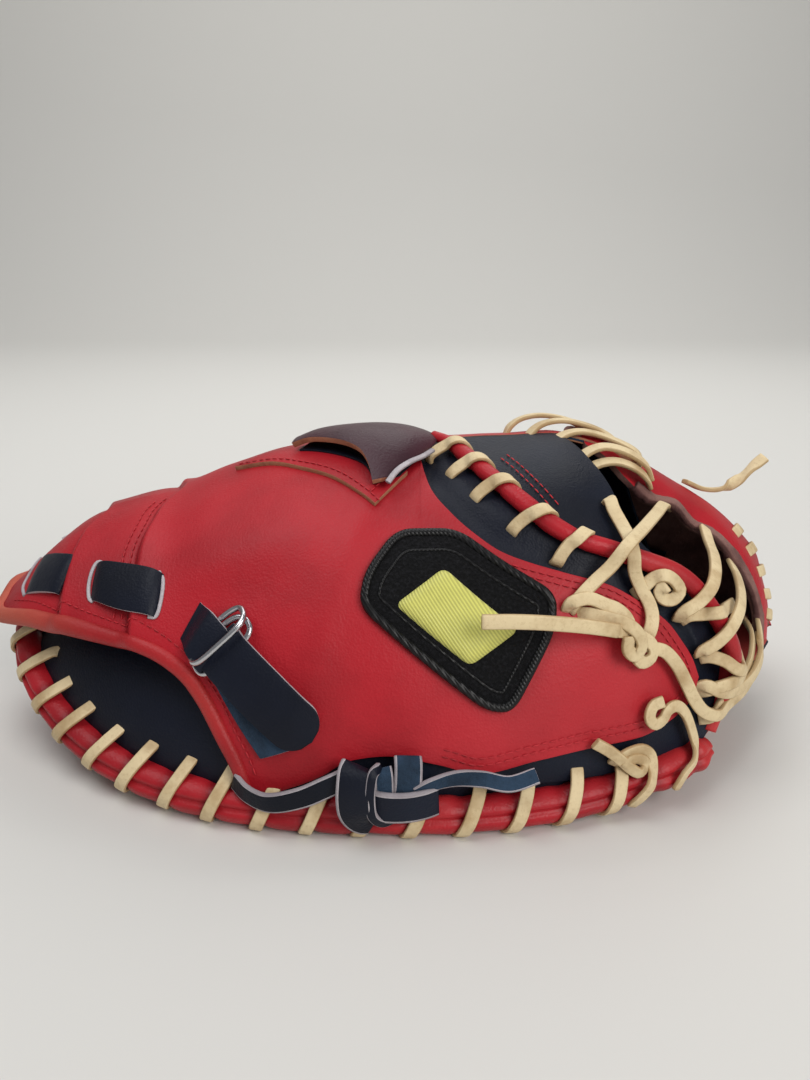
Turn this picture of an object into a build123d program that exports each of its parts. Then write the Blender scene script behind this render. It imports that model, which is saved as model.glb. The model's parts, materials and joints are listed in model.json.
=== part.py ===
"""Catcher's mitt, resting on its rim with the pocket down, as separate leather, felt, lace and metal pieces.

Frame: millimetres, +Z up, +X from the wrist to the web, -Y the thumb side, +Y the finger side.
The origin is under the middle of the mitt, on the surface that its rim rests on.
"""

import os
from math import cos, pi, radians, sqrt, tan

from build123d import *

# ---------------------------------------------------------------- driving sizes
HALF_WIDTH = 100.0  # centre of the mitt to its side, across the widest place
WIDEST_X = 5.0  # where along the mitt it is widest
PALM_HEEL_REACH = 165.0  # widest place to the end of the palm's heel
BACK_HEEL_REACH = 182.0  # widest place to the wrist lip, which overhangs the heel
TIP_REACH = 173.0  # widest place to the end of the web
PLAN_POWER, PLAN_ROUND = 2.2, 0.6  # how square the outline seen from above is

CROWN_HEIGHT = 126.0  # highest line of the back above the table
CROWN_X = 50.0  # where that line is highest
LIP_X, LIP_TOP = -172.0, 55.64  # the back's line at the end of the wrist lip
WEB_X, WEB_TOP = 172.0, 56.31  # the back's line at the end of the web
OUTLINE_CROWN = 126.0  # crown height for which the heights in the outlines are given

ROLL_RADIUS = 7.0  # leather roll along the rim
LACE_PROUD = 0.3  # how far a lace stands out of the roll that it pinches
HEEL_RISE = 34.0  # how far the rim rises towards the heel
TIP_RISE = 30.0  # how far the rim rises towards the web

LEATHER = 3.0  # back panels, web and palm
LINING = 2.0  # thin inner leather
STRAP = 2.2  # wrist strap and thumb strap
GAP = 0.3  # clearance between neighbouring layers

HAND_SPACE = 24.0  # between the back's lining and the palm padding, at the crown
PAD_SIDE = 20.0  # felt at the sides of the pocket
PAD_CROWN = 12.0  # felt at the bottom of the pocket

HINGE_HEIGHT = 82.0  # the crease of the palm, about which the thumb side folds
OPEN_ANGLE = 20.0  # how far the mitt opens from rest
CLOSE_ANGLE = 25.0  # how far it closes
FOLD_SPARE = 1.5  # extra angle on each side of the crease

STRAP_WIDTH = 20.0
RING_WIRE = 1.3  # radius of the buckle's wire
LACE_WIRE = 2.0  # radius that stands for a flat lace
CROTCH_ROLL_RADIUS = 6.0

RIM_LAYER = ROLL_RADIUS + LACE_PROUD + GAP  # soft layers stand on the roll
LINING_INSET = LEATHER + GAP
PAD_INSET = LINING_INSET + LINING + GAP
PAD_DROP = HAND_SPACE
POCKET_INSET = PAD_INSET + PAD_SIDE
POCKET_DROP = PAD_DROP + PAD_CROWN - PAD_SIDE
SIDE = 200.0  # a cutter reaches this far

STATIONS = 11  # sections in each lofted layer


# ---------------------------------------------------------------- shape of the mitt
def along(x, middle, heel_reach, tip_reach):
    """Share of the way from the middle to the mitt's end, 0 to 1, on x's own side."""
    return (middle - x) / heel_reach if x < middle else (x - middle) / tip_reach


def crown_reach(run, height):
    """Length of the crown's curve on one side, so that it is a given height after a run from its top."""
    return run / (1 - (height / CROWN_HEIGHT) ** 2) ** (1 / PLAN_POWER)


CROWN_HEEL_REACH = crown_reach(CROWN_X - LIP_X, LIP_TOP)
CROWN_TIP_REACH = crown_reach(WEB_X - CROWN_X, WEB_TOP)


def half_width(x, heel_reach=BACK_HEEL_REACH):
    """Half the mitt's width at x."""
    share = along(x, WIDEST_X, heel_reach, TIP_REACH)
    return HALF_WIDTH * (1 - share**PLAN_POWER) ** PLAN_ROUND


def crown(x):
    """Height of the back's highest line at x."""
    share = along(x, CROWN_X, CROWN_HEEL_REACH, CROWN_TIP_REACH)
    return CROWN_HEIGHT * sqrt(1 - share**PLAN_POWER)


def rim(x):
    """Height of the rim roll's centre at x."""
    share = min(1.0, along(x, WIDEST_X, PALM_HEEL_REACH, TIP_REACH))
    rise = HEEL_RISE * share**4.5 if x < WIDEST_X else TIP_RISE * share**3
    return ROLL_RADIUS + LACE_PROUD + rise


def level(z):
    """Height of an outline's point, which keeps its place on the back when the crown moves."""
    return z * CROWN_HEIGHT / OUTLINE_CROWN


def on_back(x, z, proud=0.0, side=-1):
    """Point at an outline's height z, a distance proud of the back; side -1 is the thumb's."""
    z = level(z)
    base = rim(x) + RIM_LAYER
    share = min(1.0, (z - base) / (crown(x) - base + proud))
    return (x, side * (half_width(x) + proud) * sqrt(1 - share**2), z)


def seat(x, z, proud, along_point, side=-1):
    """Plane that lies on the back, proud of it, with its X axis towards another (x, z) place."""
    here = Vector(*on_back(x, z, 0, side))
    base = rim(x) + RIM_LAYER
    wide, high = half_width(x), crown(x) - base
    outward = Vector(0, here.Y / wide**2, (here.Z - base) / high**2).normalized()
    ahead = Vector(*on_back(*along_point, 0, side)) - here
    ahead = ahead - outward * ahead.dot(outward)
    return Plane(here + outward * proud, x_dir=ahead, z_dir=outward)


def dome(inset, drop, x_from, x_to, heel_reach=BACK_HEEL_REACH, lift=0.0, skirt=0.0):
    """Solid under an arched surface that lies inset below the back, and drop more at the crown."""
    with BuildPart() as solid:
        for i in range(STATIONS):
            turn = pi * i / (STATIONS - 1)
            x = x_from + (x_to - x_from) * (1 - cos(turn)) / 2
            wide = half_width(x, heel_reach) - inset
            high = crown(x) - rim(x) - lift - inset - drop
            base = Plane((x, 0, rim(x) + lift), x_dir=(0, 1, 0), z_dir=(1, 0, 0))
            with BuildSketch(base):
                with BuildLine():
                    if wide > high:
                        EllipticalCenterArc((0, 0), wide, high, 0, arc_size=180)
                    else:
                        EllipticalCenterArc((0, 0), high, wide, -90, arc_size=180, rotation=90)
                    Polyline((-wide, 0), (-wide, -skirt - 0.5), (wide, -skirt - 0.5), (wide, 0))
                make_face()
        loft()
    return solid.part


def layer(outer_inset, inner_inset, x_from, x_to, lift=RIM_LAYER):
    """Open sheet of leather that follows the back between two insets, with no wall at its ends."""
    with BuildPart() as sheet:
        add(dome(outer_inset, 0, x_from, x_to, lift=lift))
        add(dome(inner_inset, 0, x_from - 2, x_to + 2, lift=lift, skirt=30), mode=Mode.SUBTRACT)
    return sheet.part


def fold_side(side):
    """Room that one half of the mitt may take: a wedge gap at the crease lets it fold."""
    top = tan(radians(OPEN_ANGLE / 2 + FOLD_SPARE))
    bottom = tan(radians(CLOSE_ANGLE / 2 + FOLD_SPARE))
    with BuildPart() as room:
        with BuildSketch(Plane.YZ.offset(-SIDE)):
            with BuildLine():
                Polyline(
                    (side * GAP, HINGE_HEIGHT),
                    (side * (GAP + top * SIDE), HINGE_HEIGHT + SIDE),
                    (side * SIDE, HINGE_HEIGHT + SIDE),
                    (side * SIDE, HINGE_HEIGHT - SIDE),
                    (side * (GAP + bottom * SIDE), HINGE_HEIGHT - SIDE),
                    close=True,
                )
            make_face()
        extrude(amount=2 * SIDE)
    return room.part


THUMB_ROOM = fold_side(-1)
FINGER_ROOM = fold_side(1)


def prism(points, side):
    """Cutter with an outline in X and Z, reaching out to one side."""
    with BuildPart() as cutter:
        with BuildSketch(Plane.XZ):
            with BuildLine():
                Polyline(*[(x, level(z)) for x, z in points], close=True)
            make_face()
        extrude(amount=-side * SIDE)
    return cutter.part


def smooth_prism(points, side, corner):
    """Cutter with a rounded outline in X and Z, reaching out to one side."""
    with BuildPart() as cutter:
        with BuildSketch(Plane.XZ) as face:
            with BuildLine():
                Polyline(*[(x, level(z)) for x, z in points], close=True)
            make_face()
            fillet(face.vertices(), corner)
        extrude(amount=-side * SIDE)
    return cutter.part


def tube(points, radius):
    """Round lace, cord or roll along straight runs joined by the largest tangent arcs."""
    places = [Vector(*p) for p in points]
    runs = [b - a for a, b in zip(places, places[1:])]
    bends = []
    for one, two in zip(runs, runs[1:]):
        shorter = min(one.length, two.length)
        bends.append(0.45 * shorter / tan(radians(one.get_angle(two)) / 2))
    with BuildPart() as solid:
        with BuildLine() as path:
            FilletPolyline(*places, radius=bends)
        with BuildSketch(Plane(path.line @ 0, z_dir=path.line % 0)):
            Circle(radius)
        sweep(path=path.line)
    return solid.part


def patch(outer_proud, thickness, cutter, room=THUMB_ROOM):
    """Piece of sheet lying on the back, between two distances above it, cut by a prism."""
    with BuildPart() as piece:
        add(dome(-outer_proud, 0, -165, 160, lift=RIM_LAYER))
        under = dome(thickness - outer_proud, 0, -167, 162, lift=RIM_LAYER, skirt=30)
        add(under, mode=Mode.SUBTRACT)
        add(room, mode=Mode.INTERSECT)
        add(cutter, mode=Mode.INTERSECT)
    return piece.part


# ---------------------------------------------------------------- outlines, as (x, z) or (x, y)
LIP = [
    (-180, 50), (-165, 55), (-152, 58), (-139, 62), (-118, 65), (-100, 66),
    (-83, 65), (-71, 61), (-61, 48), (-55, 33), (-51, 14),
]
PANEL_FOOT = [(-33, 20), (-19, 27), (-12, 34), (20, 31), (42, 25), (64, 30), (87, 34), (107, 39)]
PANEL_TIP = [(119, 45), (121, 55), (116, 64)]
PANEL_CROTCH = [(95, 78), (80, 84), (65, 91), (51, 99), (36, 108), (23, 116), (17, 123)]
ABOVE = [(17, 150), (-180, 150)]
FINGER_CROTCH = [(112, 84), (100, 104), (90, 150), (-180, 150)]

LINING_FOOT = [(60, 14), (100, 19), (122, 26), (128, 36), (129, 60)]
LINING_CROTCH = [(122, 78), (112, 94), (98, 112), (88, 150), (-180, 150)]

WEB = [(95, 150), (105, 108), (118, 92), (126, 66), (130, 50), (133, 40), (190, 40), (190, 150)]

CROTCH_ROLL = [
    (23, 124), (38, 121), (52, 115), (67, 107), (81, 98), (96, 87), (111, 76), (122, 61), (128, 42),
]

STRAP_BAND = [
    (-152, 63), (-131, 69), (-115, 71), (-86, 70), (-70, 65), (-63, 60), (-54, 73),
    (-68, 80), (-85, 84), (-118, 84), (-130, 81), (-150, 76),
]
UNDER_TAB = [(-58, 58), (-52, 50), (-41, 31), (-33, 34), (-42, 48), (-50, 62)]
TAIL = [(-45, 63.5), (-22, 46), (-24, 37), (-33, 33), (-60, 55)]

REINFORCEMENT = [(-62, -16), (-48, -46), (-4, -52), (10, -40), (10, -14)]
FELT_PATCH = [
    (-7, 86), (-5, 95), (6, 102), (17, 102), (28, 97), (61, 80), (61, 67), (53, 54), (40, 48),
    (31, 51), (-3, 73),
]
EMBLEM = [(10, 84), (24, 91), (44, 72), (28, 66)]

INDEX_HOLE = (-12.0, -27.0)  # centre, seen from above
INDEX_HOLE_RADIUS = 10.0

os.makedirs("parts", exist_ok=True)
pieces = []


def finish(built, label):
    """Names a finished piece and writes it."""
    built.part.label = label
    export_step(built.part, f"parts/{label}.step")
    pieces.append(built.part)


def crotch_path():
    """Centre line of the piped seam between the thumb's panel and the web."""
    return [on_back(x, z, CROTCH_ROLL_RADIUS - LINING_INSET + 0.5) for x, z in CROTCH_ROLL]


def lip_path(side):
    """Centre line of the rolled binding along the wrist opening."""
    ends = [(-168, 58.5), *LIP[1:-1], (-51.5, 21)]
    return [on_back(x, z, -2.0, side) for x, z in ends]


def rim_path(side):
    """Centre line of the leather roll that the mitt rests on."""
    places = []
    for x in (-157, -152, -140, -122, -98, -70, -38, 0, 38, 72, 102, 128, 148, 161, 168):
        places.append((x, side * (half_width(x, PALM_HEEL_REACH) - 4), rim(x)))
    return places


def wraps(path, roll_radius, proud, spacing, first, last):
    """Lace turns around a roll, each a ring sunk in the leather and standing proud by a little."""
    with BuildPart() as rings:
        count = int((last - first) / spacing)
        for i in range(count + 1):
            share = (first + i * spacing) / path.length
            here = Plane(path @ share, z_dir=path % share)
            with Locations(here):
                Torus(roll_radius + proud - LACE_WIRE, LACE_WIRE)
    return rings.part


def smooth_wire(points):
    """The same centre line that a tube follows, for placing things along it."""
    places = [Vector(*p) for p in points]
    runs = [b - a for a, b in zip(places, places[1:])]
    bends = []
    for one, two in zip(runs, runs[1:]):
        shorter = min(one.length, two.length)
        bends.append(0.45 * shorter / tan(radians(one.get_angle(two)) / 2))
    return FilletPolyline(*places, radius=bends, mode=Mode.PRIVATE)


def knot(x, z, radius, proud, side=-1):
    """Pulled-tight overhand knot, as a squat ball on the back."""
    here = seat(x, z, proud + 1.3 * radius, (x + 5, z), side)
    with BuildPart() as ball:
        with Locations(here):
            Sphere(radius)
            Torus(radius * 0.8, radius * 0.4, rotation=(70, 0, 20))
    return ball.part


BINDING = 3.4  # radius of the rolled binding
crotch_clear = tube(crotch_path(), CROTCH_ROLL_RADIUS + LACE_PROUD + GAP)
thumb_rim_clear = tube(rim_path(-1), ROLL_RADIUS + LACE_PROUD + GAP)
finger_rim_clear = tube(rim_path(1), ROLL_RADIUS + LACE_PROUD + GAP)

# ---------------------------------------------------------------- back panels and lining
back_sheet = layer(0, LEATHER, -169, 150)
lining_sheet = layer(LINING_INSET, LINING_INSET + LINING, -166, 140)
panel_outline = LIP + PANEL_FOOT + PANEL_TIP + PANEL_CROTCH + ABOVE
finger_outline = LIP + PANEL_FOOT + PANEL_TIP + FINGER_CROTCH
lining_outline = LIP + LINING_FOOT + LINING_CROTCH

with BuildPart() as thumb_back_panel:
    add(back_sheet)
    add(THUMB_ROOM, mode=Mode.INTERSECT)
    add(prism(panel_outline, -1), mode=Mode.INTERSECT)
    with Locations((*INDEX_HOLE, CROWN_HEIGHT)):
        Cylinder(INDEX_HOLE_RADIUS, 60, mode=Mode.SUBTRACT)
    add(crotch_clear, mode=Mode.SUBTRACT)
    add(tube(lip_path(-1), BINDING + GAP), mode=Mode.SUBTRACT)
    add(thumb_back_panel.part.solids().sort_by(SortBy.VOLUME)[-1], mode=Mode.REPLACE)
finish(thumb_back_panel, "thumb_back_panel")

with BuildPart() as finger_back_panel:
    add(back_sheet)
    add(FINGER_ROOM, mode=Mode.INTERSECT)
    add(prism(finger_outline, 1), mode=Mode.INTERSECT)
    add(tube(lip_path(1), BINDING + GAP), mode=Mode.SUBTRACT)
    add(finger_back_panel.part.solids().sort_by(SortBy.VOLUME)[-1], mode=Mode.REPLACE)
finish(finger_back_panel, "finger_back_panel")

with BuildPart() as thumb_lining:
    add(lining_sheet)
    add(THUMB_ROOM, mode=Mode.INTERSECT)
    add(prism(lining_outline, -1), mode=Mode.INTERSECT)
    with Locations((*INDEX_HOLE, CROWN_HEIGHT)):
        Cylinder(INDEX_HOLE_RADIUS, 60, mode=Mode.SUBTRACT)
    add(tube(lip_path(-1), BINDING + GAP), mode=Mode.SUBTRACT)
    add(thumb_rim_clear, mode=Mode.SUBTRACT)
    add(crotch_clear, mode=Mode.SUBTRACT)
    add(thumb_lining.part.solids().sort_by(SortBy.VOLUME)[-1], mode=Mode.REPLACE)
finish(thumb_lining, "thumb_lining")

with BuildPart() as finger_lining:
    add(lining_sheet)
    add(FINGER_ROOM, mode=Mode.INTERSECT)
    add(prism(lining_outline, 1), mode=Mode.INTERSECT)
    add(tube(lip_path(1), BINDING + GAP), mode=Mode.SUBTRACT)
    add(finger_rim_clear, mode=Mode.SUBTRACT)
finish(finger_lining, "finger_lining")

# ---------------------------------------------------------------- padding and palm
PAD_FROM, PAD_TO = -146.0, 146.0
POCKET_FROM, POCKET_TO = -128.0, 128.0

pad_outer = dome(PAD_INSET, PAD_DROP, PAD_FROM, PAD_TO, PALM_HEEL_REACH, lift=RIM_LAYER)
pocket = dome(
    POCKET_INSET, POCKET_DROP, POCKET_FROM, POCKET_TO, PALM_HEEL_REACH, lift=RIM_LAYER, skirt=40
)
palm_outer = dome(
    POCKET_INSET + GAP, POCKET_DROP, POCKET_FROM + GAP, POCKET_TO - GAP,
    PALM_HEEL_REACH, lift=RIM_LAYER,
)
palm_inner = dome(
    POCKET_INSET + GAP + LEATHER, POCKET_DROP, POCKET_FROM + LEATHER, POCKET_TO - LEATHER,
    PALM_HEEL_REACH, lift=RIM_LAYER, skirt=40,
)

with BuildPart() as thumb_felt_pad:
    add(pad_outer)
    add(pocket, mode=Mode.SUBTRACT)
    add(THUMB_ROOM, mode=Mode.INTERSECT)
    add(thumb_rim_clear, mode=Mode.SUBTRACT)
finish(thumb_felt_pad, "thumb_felt_pad")

with BuildPart() as finger_felt_pad:
    add(pad_outer)
    add(pocket, mode=Mode.SUBTRACT)
    add(FINGER_ROOM, mode=Mode.INTERSECT)
    add(finger_rim_clear, mode=Mode.SUBTRACT)
finish(finger_felt_pad, "finger_felt_pad")

with BuildPart() as thumb_palm_leather:
    add(palm_outer)
    add(palm_inner, mode=Mode.SUBTRACT)
    add(THUMB_ROOM, mode=Mode.INTERSECT)
    add(thumb_rim_clear, mode=Mode.SUBTRACT)
finish(thumb_palm_leather, "thumb_palm_leather")

with BuildPart() as finger_palm_leather:
    add(palm_outer)
    add(palm_inner, mode=Mode.SUBTRACT)
    add(FINGER_ROOM, mode=Mode.INTERSECT)
    add(finger_rim_clear, mode=Mode.SUBTRACT)
finish(finger_palm_leather, "finger_palm_leather")

HEEL_TOP = [(x, z - 1.5) for x, z in LIP[1:-1]]
heel_outline = [(-170, 10), (-170, 52), *HEEL_TOP, (-52, 10)]
cover_inset = PAD_INSET - GAP - LEATHER

with BuildPart() as heel_sheet:
    add(dome(cover_inset, PAD_DROP, -150, -52, PALM_HEEL_REACH, lift=RIM_LAYER))
    add(
        dome(PAD_INSET - GAP, PAD_DROP, -147, -40, PALM_HEEL_REACH, lift=RIM_LAYER, skirt=30),
        mode=Mode.SUBTRACT,
    )

with BuildPart() as thumb_heel_leather:
    add(heel_sheet.part)
    add(THUMB_ROOM, mode=Mode.INTERSECT)
    add(prism(heel_outline, -1), mode=Mode.INTERSECT)
    add(thumb_rim_clear, mode=Mode.SUBTRACT)
    add(tube(lip_path(-1), BINDING + GAP), mode=Mode.SUBTRACT)
finish(thumb_heel_leather, "thumb_heel_leather")

with BuildPart() as finger_heel_leather:
    add(heel_sheet.part)
    add(FINGER_ROOM, mode=Mode.INTERSECT)
    add(prism(heel_outline, 1), mode=Mode.INTERSECT)
    add(finger_rim_clear, mode=Mode.SUBTRACT)
    add(tube(lip_path(1), BINDING + GAP), mode=Mode.SUBTRACT)
finish(finger_heel_leather, "finger_heel_leather")

# ---------------------------------------------------------------- rolls, bindings and edge laces
for side, room, name in ((-1, THUMB_ROOM, "thumb"), (1, FINGER_ROOM, "finger")):
    with BuildPart() as edge_roll:
        add(tube(rim_path(side), ROLL_RADIUS))
        add(room, mode=Mode.INTERSECT)
    finish(edge_roll, name + "_edge_roll")

    line = smooth_wire(rim_path(side))
    with BuildPart() as edge_lace:
        add(wraps(line, ROLL_RADIUS, LACE_PROUD, 20, 12, line.length - 12))
    finish(edge_lace, name + "_edge_lace")

    with BuildPart() as lip_binding:
        add(tube(lip_path(side), BINDING))
        add(room, mode=Mode.INTERSECT)
    finish(lip_binding, name + "_lip_binding")

with BuildPart() as crotch_roll:
    add(tube(crotch_path(), CROTCH_ROLL_RADIUS))
finish(crotch_roll, "crotch_roll")

line = smooth_wire(crotch_path())
with BuildPart() as crotch_lace:
    add(wraps(line, CROTCH_ROLL_RADIUS, LACE_PROUD, 19, 14, 110))
finish(crotch_lace, "crotch_lace")

# ---------------------------------------------------------------- wrist strap, ring and tail
STRAP_PROUD = GAP + STRAP

with BuildPart() as wrist_strap_near:
    add(patch(STRAP_PROUD, STRAP, prism(STRAP_BAND, -1)))
finish(wrist_strap_near, "wrist_strap_near")

with BuildPart() as wrist_strap_far:
    add(patch(STRAP_PROUD, STRAP, prism(STRAP_BAND[:5] + STRAP_BAND[8:], 1), FINGER_ROOM))
finish(wrist_strap_far, "wrist_strap_far")

with BuildPart() as strap_under_tab:
    add(patch(STRAP_PROUD, STRAP, prism(UNDER_TAB, -1)))
finish(strap_under_tab, "strap_under_tab")

with BuildPart() as strap_tail:
    add(patch(2 * STRAP_PROUD + 0.6, STRAP, smooth_prism(TAIL, -1, 3)))
finish(strap_tail, "strap_tail")

RING_AT = (-59.5, 67.5)
ring_seat = seat(*RING_AT, STRAP_PROUD + GAP + RING_WIRE + 0.6, (-50, 58))
RING_LENGTH, RING_SHIFT = 9.3, 2.4


def ring_loop(shift):
    """Centre line of one wire loop of the double ring."""
    with BuildSketch(ring_seat) as outline:
        with Locations((shift, 0)):
            RectangleRounded(RING_LENGTH, STRAP_WIDTH + 4, 3)
    return outline.sketch.faces()[0].outer_wire()


ring_loops = [ring_loop(-RING_SHIFT), ring_loop(RING_SHIFT)]
with BuildPart() as buckle_ring:
    for loop in ring_loops:
        with BuildSketch(Plane(loop @ 0, z_dir=loop % 0)):
            Circle(RING_WIRE)
        sweep(path=loop)
finish(buckle_ring, "buckle_ring")

# ---------------------------------------------------------------- index-finger hood
HOOD_PROUD = GAP + 1.6 + 0.5

with BuildPart() as hood_reinforcement:
    with BuildSketch(Plane.XY.offset(90)) as outline:
        with BuildLine():
            Polyline(*REINFORCEMENT, close=True)
        make_face()
        fillet(outline.vertices(), 5)
        with Locations(INDEX_HOLE):
            Circle(INDEX_HOLE_RADIUS + 1, mode=Mode.SUBTRACT)
    extrude(amount=60)
    over_back = prism([(-80, 60), (60, 60), (60, 150), (-80, 150)], -1)
    add(patch(GAP + 1.6, 1.6, over_back), mode=Mode.INTERSECT)
finish(hood_reinforcement, "hood_reinforcement")

HOOD_CENTRE = (-10.0, -0.3 * HALF_WIDTH, level(114.0))
with BuildPart() as hood_outer:
    Sphere(20)
    scale(by=(1.35, 0.85, 1.15))
with BuildPart() as hood_inner:
    Sphere(17.6)
    scale(by=(1.35, 0.83, 1.12))

with BuildPart() as index_hood:
    with Locations(Location(HOOD_CENTRE, (18, 0, 0))):
        add(hood_outer.part)
        add(hood_inner.part, mode=Mode.SUBTRACT)
        with Locations((-30, 0, 0)):
            Box(40, 80, 80, mode=Mode.SUBTRACT)
    add(dome(-HOOD_PROUD, 0, -80, 60, lift=RIM_LAYER, skirt=60), mode=Mode.SUBTRACT)
    add(THUMB_ROOM, mode=Mode.INTERSECT)
finish(index_hood, "index_hood")

# ---------------------------------------------------------------- felt patch
with BuildPart() as felt_patch:
    add(patch(GAP + 2.0, 2.0, smooth_prism(FELT_PATCH, -1, 5)))
finish(felt_patch, "felt_patch")

with BuildPart() as patch_emblem:
    add(patch(GAP + 2.9, 0.8, smooth_prism(EMBLEM, -1, 2)))
finish(patch_emblem, "patch_emblem")

# ---------------------------------------------------------------- web and its laces
with BuildPart() as web_panel:
    add(layer(0, LEATHER, 80, 170))
    add(FINGER_ROOM, mode=Mode.INTERSECT)
    add(prism(WEB, 1), mode=Mode.INTERSECT)
finish(web_panel, "web_panel")

BRIDGES = (
    (on_back(102, 92, 15), (124, 9, level(113.5))),
    (on_back(118, 74, 15), (140, 9, level(102.5))),
    (on_back(127, 58, 15), (152, 9, level(91.5))),
)
for side, room, name in ((-1, THUMB_ROOM, "web_lace_thumb"), (1, FINGER_ROOM, "web_lace_finger")):
    with BuildPart() as web_lace:
        for low, high in BRIDGES:
            middle = ((low[0] + high[0]) / 2 + 6, -0.28 * HALF_WIDTH, (low[2] + high[2]) / 2 + 10)
            add(tube([low, middle, high], LACE_WIRE))
        add(room, mode=Mode.INTERSECT)
    finish(web_lace, name)

with BuildPart() as web_knot:
    add(knot(90, 66, 5.5, GAP))
finish(web_knot, "web_knot")

with BuildPart() as rim_knots:
    add(knot(93, 47, 4.5, GAP))
    add(knot(98, 26.5, 4.5, GAP - LINING_INSET))
finish(rim_knots, "rim_knots")

THONG = [(-31, 18.2), (-22, 19.5), (-12, 22), (-1, 21), (17, 19.5), (35, 19), (55, 20)]
with BuildPart() as thumb_thong:
    add(tube([on_back(x, z, LACE_WIRE + GAP - LINING_INSET) for x, z in THONG], LACE_WIRE))
    add(knot(-7, 22.5, 3.5, GAP - LINING_INSET))
finish(thumb_thong, "thumb_thong")

TAIL_RADIUS = 2.5
near_tail = [on_back(x, z, TAIL_RADIUS + p) for x, z, p in ((82, 66, 1.2), (62, 71, 3), (34, 75, 3.8))]
with BuildPart() as lace_tail_near:
    add(tube(near_tail, TAIL_RADIUS))
finish(lace_tail_near, "lace_tail_near")

far_tail = [(136, 21, 104), (152, 24, 98), (164, 27, 105), (172, 29, 112)]
with BuildPart() as lace_tail_far:
    add(tube(far_tail, TAIL_RADIUS))
finish(lace_tail_far, "lace_tail_far")

print("built", len(pieces))
everything = Compound(children=pieces)
box = everything.bounding_box()
print("box", box.min, box.max)

print("ring hinge", ring_seat * Location((-RING_SHIFT - RING_LENGTH / 2, 0, 0)), ring_seat.y_dir)
tail_seat = seat(-52.5, 59.3, STRAP_PROUD + 0.6, (-40, 46))
print("tail hinge", tail_seat.origin, tail_seat.y_dir, tail_seat.z_dir)
for name, points in (("near", near_tail), ("far", far_tail)):
    print(name, "tail length", smooth_wire(points).length, points)
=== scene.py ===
"""Looks of a catcher's mitt that rests palm down on its rim: leather, felt, rawhide laces and a wire ring.

Everything is built in the part's own frame: +X from the wrist to the web, -Y the thumb side, +Z up.
Sizes in the tables below are in millimetres and turn into metres when a mesh is made.
"""

import json
import logging
import math
from dataclasses import dataclass, field
from enum import Enum
from typing import Callable, Iterable, Sequence

import bmesh
import bpy
import numpy as np
from mathutils import Matrix, Vector

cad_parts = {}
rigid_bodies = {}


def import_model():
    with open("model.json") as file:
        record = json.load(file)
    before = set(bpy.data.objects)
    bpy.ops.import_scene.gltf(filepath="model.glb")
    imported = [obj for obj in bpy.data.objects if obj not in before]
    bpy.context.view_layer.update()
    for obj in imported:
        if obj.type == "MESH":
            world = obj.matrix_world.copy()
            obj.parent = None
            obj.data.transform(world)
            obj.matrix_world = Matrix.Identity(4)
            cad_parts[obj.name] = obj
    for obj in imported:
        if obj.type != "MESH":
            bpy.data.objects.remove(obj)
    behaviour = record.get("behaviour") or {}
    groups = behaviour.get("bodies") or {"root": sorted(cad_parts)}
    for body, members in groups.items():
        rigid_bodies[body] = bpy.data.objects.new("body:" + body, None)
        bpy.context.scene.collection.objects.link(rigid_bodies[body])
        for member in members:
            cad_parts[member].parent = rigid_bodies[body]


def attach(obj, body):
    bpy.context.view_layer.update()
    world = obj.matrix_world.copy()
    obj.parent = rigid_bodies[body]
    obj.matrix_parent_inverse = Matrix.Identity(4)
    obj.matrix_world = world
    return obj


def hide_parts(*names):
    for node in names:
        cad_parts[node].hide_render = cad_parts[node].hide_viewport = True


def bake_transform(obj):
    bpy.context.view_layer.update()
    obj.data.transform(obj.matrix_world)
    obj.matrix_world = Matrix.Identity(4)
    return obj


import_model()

log = logging.getLogger("mitt")
MM = 0.001  # metres in a millimetre
Point = Sequence[float]
Array, Material, Object = np.ndarray, bpy.types.Material, bpy.types.Object
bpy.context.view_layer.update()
CORE = (0, 0, 30)  # inside the mitt: its outer sheets face away from here


class Side(Enum):
    """Which half of the mitt a piece lies on; the value is the sign of Y."""

    THUMB = -1
    FINGER = 1


class Slot(Enum):
    """The record's material slots."""

    RED = "red_leather"
    NAVY = "navy_leather"
    PALM = "palm_leather"
    PAD = "pad_felt"
    LACE = "rawhide_lace"
    CHROME = "ring_chrome"
    HOOD = "hood_leather"
    FELT = "patch_felt"
    EMBLEM = "emblem_thread"


# ---------------------------------------------------------------- shader maths
class Sock:
    """A shader socket that can be used in Python sums.

    Args:
        graph: the material's graph.
        out: the output socket, or a plain number.
    """

    def __init__(self, graph: "Graph", out: object) -> None:
        """Keeps the socket with its graph."""
        self.graph, self.out = graph, out

    def _math(self, kind: str, a: object, b: object = 0.0) -> "Sock":
        """Adds one Math node."""
        node = self.graph.node("ShaderNodeMath", {0: a, 1: b}, operation=kind)
        return Sock(self.graph, node.outputs[0])

    def __add__(self, other: object) -> "Sock":
        """Sum."""
        return self._math("ADD", self, other)

    def __sub__(self, other: object) -> "Sock":
        """Difference."""
        return self._math("SUBTRACT", self, other)

    def __rsub__(self, other: object) -> "Sock":
        """Difference from a number on the left."""
        return self._math("SUBTRACT", other, self)

    def __mul__(self, other: object) -> "Sock":
        """Product."""
        return self._math("MULTIPLY", self, other)

    __radd__, __rmul__ = __add__, __mul__

    def wave(self) -> "Sock":
        """Sine of the value."""
        return self._math("SINE", self)

    def step(self, low: float, high: float) -> "Sock":
        """Smooth rise from 0 at low to 1 at high."""
        inputs = {0: self, 1: low, 2: high, 3: 0.0, 4: 1.0}
        node = self.graph.node("ShaderNodeMapRange", inputs, interpolation_type="SMOOTHSTEP")
        return Sock(self.graph, node.outputs[0])


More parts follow.
